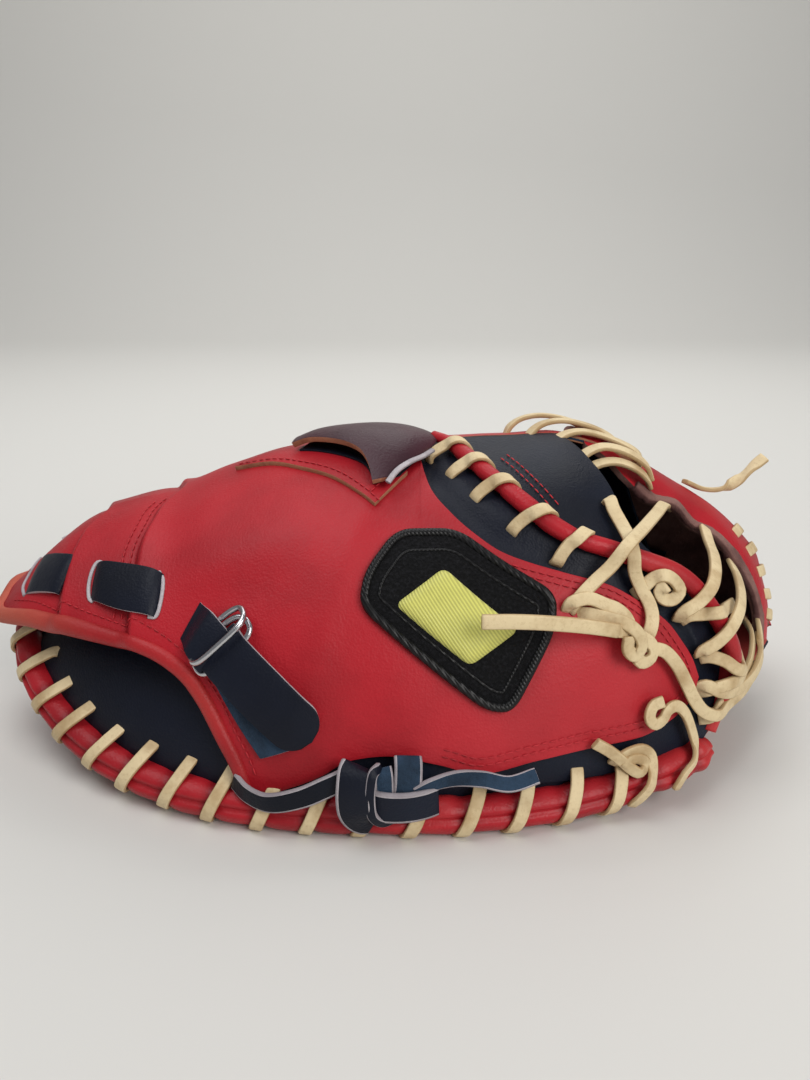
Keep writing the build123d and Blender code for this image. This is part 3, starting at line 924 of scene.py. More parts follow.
# ---------------------------------------------------------------- repeats made with geometry nodes
class Repeater:
    """Geometry Nodes tree that puts a small shape at points, with a fixed seed, and gives it a material."""

    def __init__(self, name: str) -> None:
        """Makes the tree with its named inputs."""
        self.tree = bpy.data.node_groups.new(name, "GeometryNodeTree")
        self.ids: dict[str, str] = {}
        names, kinds = "Geometry Shape Jitter Seed Material", "Geometry Object Float Int Material"
        for label, kind in zip(names.split(), kinds.split()):
            socket = self.tree.interface.new_socket(label, in_out="INPUT", socket_type="NodeSocket" + kind)
            self.ids[label] = socket.identifier
        self.tree.interface.new_socket("Geometry", in_out="OUTPUT", socket_type="NodeSocketGeometry")
        self._wire()

    def _wire(self) -> None:
        """Links the nodes: instances on points, made real and given their material."""
        kinds = {
            "start": "NodeGroupInput",
            "end": "NodeGroupOutput",
            "info": "GeometryNodeObjectInfo",
            "place": "GeometryNodeInstanceOnPoints",
            "turn": "GeometryNodeInputNamedAttribute",
            "rand": "FunctionNodeRandomValue",
            "low": "ShaderNodeMath",
            "high": "ShaderNodeMath",
            "real": "GeometryNodeRealizeInstances",
            "paint": "GeometryNodeSetMaterial",
        }
        node = {name: self.tree.nodes.new(kind) for name, kind in kinds.items()}
        node["turn"].data_type = "FLOAT_VECTOR"
        node["turn"].inputs["Name"].default_value = "turn"
        node["rand"].data_type = "FLOAT"
        for name, operation in (("low", "SUBTRACT"), ("high", "ADD")):
            node[name].operation, node[name].inputs[0].default_value = operation, 1.0
        for one, out, two, into in (
            ("start", "Shape", "info", "Object"),
            ("start", "Jitter", "low", 1),
            ("start", "Jitter", "high", 1),
            ("low", 0, "rand", 2),
            ("high", 0, "rand", 3),
            ("start", "Seed", "rand", "Seed"),
            ("start", "Geometry", "place", "Points"),
            ("info", "Geometry", "place", "Instance"),
            ("turn", "Attribute", "place", "Rotation"),
            ("rand", 1, "place", "Scale"),
            ("place", "Instances", "real", "Geometry"),
            ("real", "Geometry", "paint", "Geometry"),
            ("start", "Material", "paint", "Material"),
            ("paint", "Geometry", "end", "Geometry"),
        ):
            self.tree.links.new(node[one].outputs[out], node[two].inputs[into])

    def place(
        self,
        name: str,
        shape: Object,
        path: Array,
        x_dirs: Array,
        ups: Array,
        material: Material,
        jitter: float,
        seed: int,
    ) -> Object:
        """Puts a copy of a shape at each point.

        Args:
            name: the finished object's name.
            shape: what is repeated.
            path: where the copies stand.
            x_dirs: direction of each copy's X axis.
            ups: direction that each copy's Z axis is near.
            material: the copies' material.
            jitter: how much their sizes differ, as a share.
            seed: seed of the random sizes.

        Returns:
            One object with a plain mesh.
        """
        turns = []
        for along, up in zip(unit(x_dirs), ups):
            side = unit(np.cross(up, along))
            top = np.cross(along, side)
            turns.append(list(Matrix(np.stack([along, side, top], 1).tolist()).to_euler()))
        mesh = bpy.data.meshes.new(name)
        mesh.from_pydata((np.asarray(path) * MM).tolist(), [], [])
        flat = np.array(turns, np.float32).ravel()
        mesh.attributes.new("turn", "FLOAT_VECTOR", "POINT").data.foreach_set("vector", flat)
        made = put_in_scene(name, mesh)
        run = made.modifiers.new("repeat", "NODES")
        run.node_group = self.tree
        for label, value in (("Shape", shape), ("Jitter", jitter), ("Seed", seed), ("Material", material)):
            run[self.ids[label]] = value
        return flatten(made)


class Sewing:
    """Runs of stitches laid on the mitt's surface."""

    length = 2.5
    rise = 0.12  # how far a stitch's middle stands above its line

    def __init__(self, repeater: Repeater, finishes: Finishes) -> None:
        """Makes the shape of one stitch."""
        self.repeater, self.finishes = repeater, finishes
        build = Build()
        rows = 9
        along = np.linspace(-self.length / 2, self.length / 2, rows)
        path = np.stack([along, np.zeros(rows), np.zeros(rows)], 1)
        sag = np.sqrt(np.maximum(1 - (along / 1.3) ** 2, 0.02))
        sweep(build, path, np.tile([0, 0, 1.0], (rows, 1)), ring_section(8, 0.62, 0.5, 1.0), scale=sag)
        self.stitch = build.to_object("stitch_shape", finishes.thread)

    def lay(self, name: str, lines: Sequence[tuple], pitch: float = 3.3) -> Object:
        """Returns one mesh with a stitch every pitch along each (points, outward) line."""
        spots, along, ups = [], [], []
        for points, outward in lines:
            run = run_along(points)
            marks = np.arange(pitch / 2, run[-1], pitch)
            up = unit(read_at(marks, run, outward))
            spots.append(read_at(marks, run, points) + up * self.rise)
            along.append(unit(read_at(marks, run, np.gradient(points, axis=0))))
            ups.append(up)
        rows = [np.vstack(part) for part in (spots, along, ups)]
        return self.repeater.place(name, self.stitch, *rows, self.finishes.thread, jitter=0.08, seed=7)


def across(obj: Object, slot: Slot, *nodes: str) -> Object:
    """A piece that lies over both halves where they meet at the palm, from the finger half to the thumb half,
    with its placement baked into its mesh.
    """
    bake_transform(obj)
    return settle(obj, slot, *nodes)


def settle(obj: Object, slot: Slot, *nodes: str) -> Object:
    """Hides the CAD nodes that the piece stands for and logs its number of faces."""
    if nodes:
        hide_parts(*nodes)
    log.info("%s: %d faces", obj.name, len(obj.data.polygons) if obj.type == "MESH" else 0)
    return obj


def rides(obj: Object, body: str, slot: Slot, *nodes: str) -> Object:
    """A piece that moves with one body."""
    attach(obj, body)
    return settle(obj, slot, *nodes)


# ---------------------------------------------------------------- sub-assemblies
@dataclass
class Back:
    """Red back panels, the navy lining under them and the rolled binding of the wrist opening."""

    finishes: Finishes
    sewing: Sewing
    thick: float = 2.4
    split_x: float = 13.0
    lining_drop: float = 3.2
    stitch_rise: float = 0.25

    def _rows(self) -> Array:
        """Places along the mitt, closer together at the nose and at the tip."""
        nose = -164.6 + 8.6 * np.linspace(0, 1, 24) ** 1.8
        heel = np.linspace(-156, -84, 121)[1:]
        middle = np.linspace(-84, 106, 150)[1:]
        tip = 119.3 - 13.3 * (1 - np.sin(np.linspace(0, math.pi / 2, 28)))[1:]
        return np.concatenate([nose, heel, middle, tip])

    def _foot(self, x: Array) -> Array:
        """Angle of the panel's lower edge."""
        lip, foot = SHAPE.lip_line(x), SHAPE.foot_line(x)
        return SHAPE.angle(x, np.where(x < SHAPE.lip_end_x, lip, foot))

    def panel(self) -> None:
        """The red back, in one sheet over both halves behind the web's crotch."""
        x = self._rows()
        low = self._foot(x)
        high = np.where(x < self.split_x, 90.0, SHAPE.angle(x, SHAPE.crotch_line(x)))
        v = np.linspace(0, 1, 84)
        build = Build()
        angle = low[:, None] + (high - low)[:, None] * v
        build.grid(SHAPE.at(x[:, None], angle), **self._marks(x, angle))
        far_x = np.concatenate([x[x <= 106], 106 + 12 * np.sin(np.linspace(0, math.pi / 2, 14))[1:]])
        far_low = self._foot(far_x)
        top_z = np.interp(far_x, [108, 112, 116, 119], [121, 104, 84, 60])
        top = np.where(far_x < 104, 90.0, SHAPE.angle(far_x, np.minimum(top_z, SHAPE.crown(far_x))))
        angle = 180 - (far_low[:, None] + (top - far_low)[:, None] * v)
        build.grid(SHAPE.at(far_x[:, None], angle), **self._marks(far_x, angle))
        panel = leather_sheet(
            build, "back_panel", self.finishes.red, self.finishes.tan_edge, self.thick, weld=0.02
        )
        across(panel, Slot.RED, "thumb_back_panel", "finger_back_panel")

    def _marks(self, x: Array, angle: Array) -> dict:
        """Painted shade in the dips at the heel seams and painted highlights on two bulges, at each of the
        panel's vertices.
        """
        xx = np.broadcast_to(x[:, None], angle.shape)
        near = np.where(angle > 90, 180 - angle, angle)
        one, two = SHAPE.seams(near)
        # painted shade: a dark line in the dip just before each heel seam
        dark = (hill(xx, one - 0.4, 1.1) + hill(xx, two - 0.4, 1.1)) * ease(near, 20, 40)
        # painted highlights: two soft pale spots, high on the heel side and low on the thumb side towards the
        # web
        pale = 0.35 * hill(xx, -60, 30) * hill(near, 68, 14) + 0.30 * hill(xx, 60, 60) * hill(near, 22, 12)
        return {"crease": np.clip(dark, 0, 1).ravel(), "worn": np.clip(pale, 0, 1).ravel() * 0.5}

    def lining(self) -> None:
        """Navy leather under the red, seen below it, inside it and in front of the crotch."""
        heel, middle, tip = ((-161.5, -84, 110), (-84, 100, 110), (100, 137.3, 44))
        x = np.concatenate([np.linspace(*heel), np.linspace(*middle)[1:], np.linspace(*tip)[1:]])
        drop = -self.lining_drop
        v = np.linspace(0, 1, 60)
        bottom = np.where(x < SHAPE.lip_end_x, SHAPE.lip_line(x) + 1.0, SHAPE.rim(x) + 3.0)
        top = np.where(x < 74, SHAPE.crown(x), SHAPE.edge_b(x))
        bottom = np.maximum(bottom, np.interp(x, [122, 137.3], [18, 42]))
        low, high = SHAPE.angle(x, bottom), np.where(x < 74, 90.0, SHAPE.angle(x, top))
        high = np.maximum(high, low + 0.5)
        build = Build()
        near = low[:, None] + (high - low)[:, None] * v
        free = SHAPE.at(x[:, None], near, drop)[..., 2] - SHAPE.crotch_line(x)[:, None]
        bulge = 3.0 * ease(free, 0.5, 9) * ease(x, 12, 26)[:, None]
        build.grid(SHAPE.at(x[:, None], near, drop + bulge))
        far_top = np.where(x < 96, 90.0, SHAPE.angle(x, np.interp(x, [96, 110, 130], [121, 104, 60])))
        far_top = np.maximum(far_top, low + 0.5)
        far = 180 - (low[:, None] + (far_top - low)[:, None] * v)
        bulge = 3.0 * ease(far, 130, 92) * ease(x, 12, 26)[:, None]
        build.grid(SHAPE.at(x[:, None], far, drop + bulge))
        lining = leather_sheet(
            build, "navy_lining", self.finishes.navy, self.finishes.blue_suede, 1.6, 0.4, weld=0.02
        )
        across(lining, Slot.NAVY, "thumb_lining", "finger_lining")

    def binding(self) -> None:
        """Rolled lip along the wrist opening, rubbed orange at the heel."""
        nose = -164.2 + 6 * np.linspace(0, 1, 22) ** 1.6
        x = np.concatenate([nose, np.linspace(-158.2, SHAPE.lip_end_x, 120)[1:]])
        a = SHAPE.angle(x, SHAPE.lip_line(x))
        a[0] = 90
        near = SHAPE.at(x, a, -0.5)[::-1]
        ups_near = SHAPE.normal(x, a)[::-1]
        far = SHAPE.at(x[1:], 180 - a[1:], -0.5)
        ups_far = SHAPE.normal(x[1:], 180 - a[1:])
        raw = np.vstack([near, far])
        ups = np.vstack([ups_near, ups_far])
        run = run_along(raw)
        marks = np.arange(0, run[-1], 1.6)
        path, up = read_at(marks, run, raw), unit(read_at(marks, run, ups))
        relax(path, 6)
        worn = ease(-path[:, 0], 105, 165)
        size = 0.90 + 0.10 * np.sin(marks * 0.07) + 0.10 * ease(-path[:, 0], 100, 160)
        size = size * (0.78 + 0.22 * ease(-path[:, 0], 50, 80))
        build = Build()
        sweep(build, path, up, ring_section(16, 7.4, 6.4, 0.9), scale=size, worn=worn)
        lip = build.to_object("lip_binding", self.finishes.lip)
        across(lip, Slot.RED, "thumb_lip_binding", "finger_lip_binding")

    def _offset_line(self, line: Profile, x_from: float, x_to: float, shift: float) -> tuple:
        """Line beside one of the panel's edges.

        Args:
            line: the edge.
            x_from: where the line starts.
            x_to: where it ends.
            shift: its distance from the edge, to the left of the way it runs.

        Returns:
            Its points and the outward direction at each.
        """
        proud = self.stitch_rise
        x = np.linspace(x_from, x_to, 90)
        z = line(x)
        pts = SHAPE.at(x, SHAPE.angle(x, z), proud)
        ups = SHAPE.normal(x, SHAPE.angle(x, z))
        inward = unit(np.cross(np.gradient(pts, axis=0), ups))
        moved = pts + inward * shift
        a = SHAPE.angle(moved[:, 0], moved[:, 2])
        return SHAPE.at(moved[:, 0], a, proud), SHAPE.normal(moved[:, 0], a)

    def stitches(self) -> None:
        """Red rows along the panel's edges: double beside the crotch and the foot, single beside the lip, and
        a double row beside the first heel seam.
        """
        lines = []
        for shift in (3.4, 6.0):
            lines.append(self._offset_line(SHAPE.crotch_line, 48, 118.6, shift))
            lines.append(self._offset_line(SHAPE.foot_line, 20, 118.6, -shift))
        lines.append(self._offset_line(SHAPE.lip_line, -156, -74, -5.6))
        lines.append(self._offset_line(SHAPE.lip_line, -72, -51, -5.6))
        for start in (-3.0, -6.2):
            a = np.linspace(40, 84, 60)
            x = SHAPE.seams(a)[0] + start
            lines.append((SHAPE.at(x, a, self.stitch_rise), SHAPE.normal(x, a)))
        near = self.sewing.lay("panel_stitches", lines)
        rides(near, "thumb_half", Slot.RED)

    def build(self) -> None:
        """Builds every piece of the back."""
        self.panel()
        self.lining()
        self.binding()
        self.stitches()


@dataclass
class Rim:
    """The leather roll that the mitt rests on, and the rawhide laced round it."""

    finishes: Finishes
    repeater: Repeater
    pitch: float = 18.5
    radius: float = 7.0
    end_x: float = 126.0
    last_turn_x: float = 92.0
    grooves: tuple = (170, 10)  # where two layers of leather meet, in degrees round the roll

    def centre(self, x: Array, side: int) -> Array:
        """Points along the roll's centre."""
        wide = SHAPE.half_width(x, SHAPE.roll_reach) - 3.5
        return np.stack([x, side * np.maximum(wide, 0), SHAPE.rim(x)], 1)

    def line(self, side: int, x_to: float) -> Array:
        """Evenly spaced centre line of one side, from the heel to x_to."""
        x = np.concatenate([-158.5 + 12 * np.linspace(0, 1, 20) ** 2, np.linspace(-146, x_to, 150)[1:]])
        return evenly(self.centre(x, side), 1.0)

    def whole(self) -> Array:
        """Centre line from the thumb's end round the heel to the far end."""
        near, far = self.line(-1, self.end_x)[::-1], self.line(1, 168.0)
        bridge = spline([near[-2], near[-1], far[0], far[1]], 1.0)
        path = evenly(np.vstack([near[:-1], bridge, far[1:]]), 1.0)
        relax(path, 30)
        return path

    def build(self) -> None:
        """Builds the roll and the lace turns."""
        path = self.whole()
        count = len(path)
        marks = np.arange(11.0, count - 8, self.pitch)
        ups = np.tile([0, 0, 1.0], (count, 1))
        t = np.linspace(0, 2 * math.pi, 56, endpoint=False)
        groove = np.ones(len(t))
        for place in self.grooves:
            apart = np.degrees(np.angle(np.exp(1j * (t - math.radians(place)))))
            groove -= 0.27 * np.exp(-((apart / 11) ** 2))
        section = np.stack([np.cos(t), np.sin(t)], 1) * self.radius * groove[:, None]
        pinch = np.ones(count)
        for m in marks:
            pinch -= 0.13 * np.exp(-(((np.arange(count) - m) / 3.0) ** 2))
        wave = 1 + 0.025 * np.sin(np.arange(count) * 0.31) + 0.02 * np.sin(np.arange(count) * 0.13)
        size = pinch * wave * (0.6 + 0.4 * ease(np.arange(count), 0, 7))
        # painted shade: darker where the lace turns pinch the roll
        crease = np.clip((1 - pinch) * 6, 0, 1)
        build = Build()
        sweep(build, path, ups, section, scale=size, crease=crease)
        roll = build.to_object("edge_roll", self.finishes.roll)
        across(roll, Slot.RED, "thumb_edge_roll", "finger_edge_roll")
        self._turns(path, marks)

    def _turns(self, path: Array, marks: Array) -> None:
        """Lace turns round the roll, apart for each half and for the heel.

        Args:
            path: the roll's centre line.
            marks: the turns' places on it.
        """
        for side, body in ((-1, "thumb"), (1, "finger")):
            groups = []
            for heel in (False, True):
                shape = self._turn_shape(side, heel)
                index = []
                for i in marks.astype(int):
                    x, y = path[i, 0], path[i, 1]
                    if y * side > 0 and (x < SHAPE.lip_end_x) == heel and (side > 0 or x < self.last_turn_x):
                        index.append(i)
                along = np.array([path[min(i + 2, len(path) - 1)] - path[max(i - 2, 0)] for i in index])
                along = unit(along * np.where(along[:, :1] > 0, 1, -1))
                ups = np.tile([0, 0, 1.0], (len(index), 1))
                name = f"{body}_edge_turns_{'heel' if heel else 'side'}"
                made = self.repeater.place(
                    name, shape, path[index], along, ups, self.finishes.lace, jitter=0.03, seed=3 + heel
                )
                groups.append(made)
            rides(groups[0], body + "_half", Slot.LACE, body + "_edge_lace")
            rides(groups[1], body + "_half", Slot.LACE)

    def _turn_shape(self, side: int, heel: bool) -> Object:
        """One turn of lace from its hole, over the roll and under it; Y points away from the middle."""
        r = self.radius + 0.3
        lean = 2.6 if heel else 0.0
        loop = [
            (7.4, 11.0 + lean, 8.0), (7.2, 7.6 + lean, 12.6), (6.9, 3.6 + lean, 14.4),
             (6.4, 0.4 + lean * 0.8, 12.8),
            (5.0, -3.6 + lean * 0.4, 9.0), (3.0, -r * 0.86, r * 0.58), (1.2, -r, 0.0),
             (-0.8, -r * 0.80, -r * 0.62),
            (-2.0, -r * 0.30, -r * 0.93), (-3.0, r * 0.30, -r * 0.92), (-3.5, r * 0.85, -r * 0.5),
             (-3.8, r * 0.9, 2.5),
        ]
        path = spline([(x, -y * side, z) for x, y, z in loop], 0.8)
        centre = np.stack([path[:, 0], np.zeros(len(path)), np.clip(path[:, 2], -2, 4) * 0.5], 1)
        ups = (path - centre) * np.array([0, 1, 1])
        high = path[:, 2] > 8
        ups[high] = np.array([0, side, 0.45]) * 8
        ups = unit(ups)
        for _ in range(8):
            ups[1:-1] = unit(ups[:-2] + ups[1:-1] + ups[2:])
        build = Build()
        sweep(build, path, ups, ring_section(16, 4.9, 1.7, 0.45))
        return build.to_object("turn_shape", self.finishes.lace)


@dataclass
class Pocket:
    """Palm leather, the felt behind it and the navy leather that the hand lies on."""

    finishes: Finishes
    around: int = 160

    def _ring(self, share: float) -> Array:
        """Outline of the rim's inside, drawn in to a share of its size."""
        x0 = 158.5 * np.cos(np.linspace(math.pi, -math.pi, self.around, endpoint=False))
        x = np.where(x0 < 0, x0, x0 * 170 / 158.5) + 1
        side = np.where(np.arange(self.around) < self.around / 2, -1, 1)
        wide = np.maximum(SHAPE.half_width(x, SHAPE.roll_reach) - 5, 1.0)
        open_side = np.interp(x, [113.9, 114, 134, 171], [200, 75, 52, 3])
        wide = np.where(side < 0, np.minimum(wide, open_side), wide)
        return np.stack([4 + (x - 4) * share, side * wide * share], 1)

    def _dish(self, share: Array, xy: Array) -> Array:
        """Height of the palm, a bowl that is open below."""
        base = SHAPE.rim(xy[..., 0]) + 0.5
        rho = np.clip(share / 0.80, 0, 1)
        high = (SHAPE.crown(xy[..., 0]) - SHAPE.rim(xy[..., 0])) * 0.52
        bowl = np.maximum(0, 1 - rho**2.6) ** 0.75
        return base + high * bowl * (1 - 0.8 * ease(xy[..., 0], 78, 118))

    def _roof(self, xy: Array) -> Array:
        """Height of the leather that the hand lies on."""
        x, y = xy[..., 0], xy[..., 1]
        wide = np.maximum(SHAPE.half_width(x, SHAPE.roll_reach) - 4.98, 1)
        high = np.maximum(SHAPE.crown(x) - SHAPE.rim(x) - 36, 3.0) * (1 - 0.9 * ease(x, 84, 120))
        arch = np.clip(1 - np.abs(y / wide) ** 2.4, 0, 1) ** 0.62
        return SHAPE.rim(x) + 4 - 3.4 * ease(x, 84, 120) + high * arch

    def build(self) -> None:
        """Builds the palm, the pad and the hand's bed."""
        shares = np.concatenate([[0.0], np.linspace(0.06, 0.72, 18), np.linspace(0.74, 1.0, 22)])
        rings = np.stack([self._ring(s) for s in shares])
        under = np.concatenate([rings, self._dish(shares[:, None], rings)[..., None]], -1)
        build = Build()
        build.grid(under, loop=True)
        above, below = (0, 0, 160), (0, 0, 0)
        palm = leather_sheet(build, "palm_leather", self.finishes.palm, None, 2.0, 0.3, above, weld=0.01)
        across(palm, Slot.PALM, "thumb_palm_leather", "finger_palm_leather")

        bed = np.concatenate([rings, self._roof(rings)[..., None]], -1)
        build = Build()
        build.grid(bed, loop=True)
        cover = leather_sheet(build, "hand_bed_leather", self.finishes.navy, None, 1.4, 0.3, below, weld=0.01)
        across(cover, Slot.NAVY, "thumb_heel_leather", "finger_heel_leather")

        keep = shares <= 0.93
        gap = np.array([0, 0, 2.6])
        top, low = bed[keep] - gap, under[keep] + gap
        low[..., 2] = np.minimum(low[..., 2], top[..., 2] - 0.4)
        build = Build()
        build.grid(top, loop=True)
        build.grid(low, loop=True)
        build.grid(np.stack([top[-1], low[-1]]), loop=True)
        pad = build.to_object("felt_padding", self.finishes.wool, weld=0.01)
        across(pad, Slot.PAD, "thumb_felt_pad", "finger_felt_pad")


@dataclass
class Crotch:
    """The piped seam between the thumb and the web, wrapped with lace."""

    finishes: Finishes
    sewing: Sewing
    wide: float = 7.2
    thick: float = 6.8
    marks: tuple = (16.8, 32.4, 48.0, 67.2, 84.0)
    places: tuple = (
        (20, -6, 128.5), (25.7, -13.5, 127.6), (33.4, -28.2, 124.2), (42.7, -42, 119), (51.9, -51.6, 113.2),
        (61.1, -58.2, 107.2), (70.4, -62.2, 102.6), (84.4, -62.6, 98), (98.4, -62, 92.8),
         (109.2, -60.5, 88),
        (116.7, -60, 82.4), (124.5, -60, 73), (131, -59.5, 63), (134.6, -59, 53), (133.8, -59, 45),
         (130.5, -61, 34), (126.5, -64, 24),
    )

    def build(self) -> None:
        """Builds the roll, its lace turns and the seam behind it."""
        step = 1.2
        path = spline(self.places, step)
        ups = SHAPE.outward(path)
        run = np.arange(len(path)) * step
        pinch = np.ones(len(path))
        for m in self.marks:
            pinch -= 0.12 * np.exp(-(((run - m) / 2.8) ** 2))
        taper = (0.62 + 0.38 * ease(run, 0, 30)) * (1 + 0.05 * np.sin(run * 0.12))
        build = Build()
        section = ring_section(20, self.wide, self.thick, 1.0)
        # painted shade: darker where the lace wraps pinch the roll
        sweep(build, path, ups, section, scale=pinch * taper, crease=(1 - pinch) * 3)
        rides(build.to_object("crotch_roll", self.finishes.roll), "thumb_half", Slot.RED, "crotch_roll")
        self._turns(path, ups, run, taper)
        seam = [(46, 124.5), (51, 121.5), (57, 116.5), (63, 110.5)]
        lines = [SHAPE.on(seam, 0.2), SHAPE.on([(x + 2.6, z + 1.0) for x, z in seam], 0.2)]
        rides(self.sewing.lay("crotch_stitches", lines), "thumb_half", Slot.RED)

    def _turns(self, path: Array, ups: Array, run: Array, taper: Array) -> None:
        """Lace turns round the roll.

        Args:
            path: the roll's centre line.
            ups: outward direction at each of its points.
            run: distance of each point from the start.
            taper: the roll's size at each point, as a share.
        """
        tangent, side, up = frames(path, ups)
        build = Build()
        for m in self.marks:
            i = int(np.argmin(np.abs(run - m)))
            r = 3.3 * taper[i] + 0.9
            c, t, s, u = path[i], tangent[i], side[i], up[i]
            loop = []
            for low, high, lean in ((10.0, -8.5, 4.5), (10.2, -3.4, 4.3), (7.6, -1.2, 4.0)):
                loop.append(c + s * low + u * high - t * lean)
            for degrees in (20, 60, 95, 130, 165):
                rad = math.radians(degrees)
                lean = 3.5 - degrees / 28
                loop.append(c + s * math.cos(rad) * r + u * math.sin(rad) * r - t * lean)
            loop.append(c - s * (r + 1.2) - u * 5.0 + t * 3.0)
            line = spline(loop, 0.8)
            out = unit(line - c - t * ((line - c) @ t)[:, None]) + u * 0.25
            sweep(build, line, unit(out), ring_section(16, 5.0, 1.7, 0.45))
        turns = build.to_object("crotch_turns", self.finishes.lace)
        rides(turns, "thumb_half", Slot.LACE, "crotch_lace")


@dataclass
class Web:
    """The web's panel on the finger half, its raw folded edge and the lace turns at its far end."""

    finishes: Finishes
    thick: float = 2.6
    turn_rows: tuple = (70, 78, 86, 94, 101)
    edge: tuple = (
        (84, -2, 124), (92, -5, 119.5), (100, -9, 111.5), (111, -10, 102), (121, -10, 99.5), (129, -10, 91),
        (139, -10, 86), (149, -10, 75.5), (157, -11, 63), (161.5, -12, 50), (162.5, -13, 38),
    )
    fold: tuple = (
        (82, 8, 128.5), (94, 6, 124), (104, 3, 116), (115, 2, 109), (125, 2, 103), (134, 2, 97),
        (144, 2, 90), (154, 1, 80), (163, 0, 67), (169, -2, 52), (170, -4, 36),
    )
    ridge: tuple = (
        (80, 30, 124), (93, 30, 120), (106, 30, 113), (127.5, 30, 100.6), (138.2, 30, 94.5),
         (150.3, 30, 86.6), (162.2, 30, 76.3), (173, 30, 64), (174.2, 27, 56), (176.2, 22, 44),
         (175.4, 17, 32),
    )
    foot: tuple = (
        (96, 82, 70), (104, 80, 52), (113, 78, 38), (123, 73, 31), (133, 67, 28), (142, 60, 28),
        (151, 52, 30), (159, 43, 32), (166, 34, 34), (170.5, 26, 34), (172.5, 19, 31),
    )

    def _grid(self) -> Array:
        """Rows of points from the near edge over the ridge down to the rim."""
        lines = [spline(line, 0.6) for line in (self.edge, self.fold, self.ridge, self.foot)]
        count = 110
        even = [resample(line, count) for line in lines]
        middle = (even[2] + even[3]) / 2 + unit(even[3] - np.array([90, 20, 20])) * 7.0
        columns = []
        for i in range(count):
            cut = [even[0][i], even[1][i], even[2][i], middle[i], even[3][i]]
            columns.append(resample(spline(cut, 0.8), 52))
        return np.array(columns)

    def panel(self, grid: Array) -> None:
        """Red web leather over the end of the mitt."""
        build = Build()
        build.grid(grid)
        face, edge, inside = self.finishes.red, self.finishes.suede, (110, 10, 40)
        panel = leather_sheet(
            build, "web_panel", face, edge, self.thick, inside=inside, weld=0.02, rough_back=True
        )
        rides(panel, "finger_half", Slot.RED, "web_panel")

    def raw_edge(self, grid: Array) -> None:
        """Brown suede fold along the web's near edge."""
        first_row = 24
        path = evenly(grid[first_row:, 0], 1.0)
        inner = resample(evenly(grid[first_row:, 6], 1.0), len(path))
        rng = np.random.default_rng(5)
        rough = np.convolve(rng.normal(0, 1, len(path) + 6), np.ones(7) / 7, "valid")
        across_edge = unit(path - inner)
        ups = unit(np.cross(np.gradient(path, axis=0), across_edge))
        path = path - across_edge * 0.8 + ups * (rough * 0.5)[:, None]
        build = Build()
        sweep(build, path, ups, ring_section(14, 5.6, 4.0, 0.6), scale=1 + rough * 0.35)
        rides(build.to_object("web_raw_edge", self.finishes.suede), "finger_half", Slot.RED)

    def turns(self, grid: Array) -> None:
        """Short lace turns over the web's far border."""
        build = Build()
        for row in self.turn_rows:
            cut = grid[row, 9:23]
            ahead = unit(np.gradient(grid[:, 15], axis=0))[row]
            ups = unit(np.cross(ahead, np.gradient(cut, axis=0)))
            ups = ups * np.sign(ups @ np.array([1.0, 0, 0.6])).mean()
            arch = np.sin(np.linspace(0, math.pi, len(cut)))[:, None]
            path = cut + ups * (1.7 * arch - 0.6) + ahead * np.linspace(-2, 3, len(cut))[:, None]
            line = evenly(path, 0.8)
            sweep(build, line, resample(ups, len(line)), ring_section(16, 5.0, 1.9, 0.45))
        rides(build.to_object("web_edge_turns", self.finishes.lace), "finger_half", Slot.LACE)

    def build(self) -> None:
        """Builds the web."""
        grid = self._grid()
        self.panel(grid)
        self.raw_edge(grid)
        self.turns(grid)


def lace_line(points: Sequence[Point], inside: Point, step: float = 1.2) -> tuple:
    """Free lace path with its flat side away from a point inside the mitt."""
    path = spline(points, step)
    return path, unit(path - np.array(inside, float))


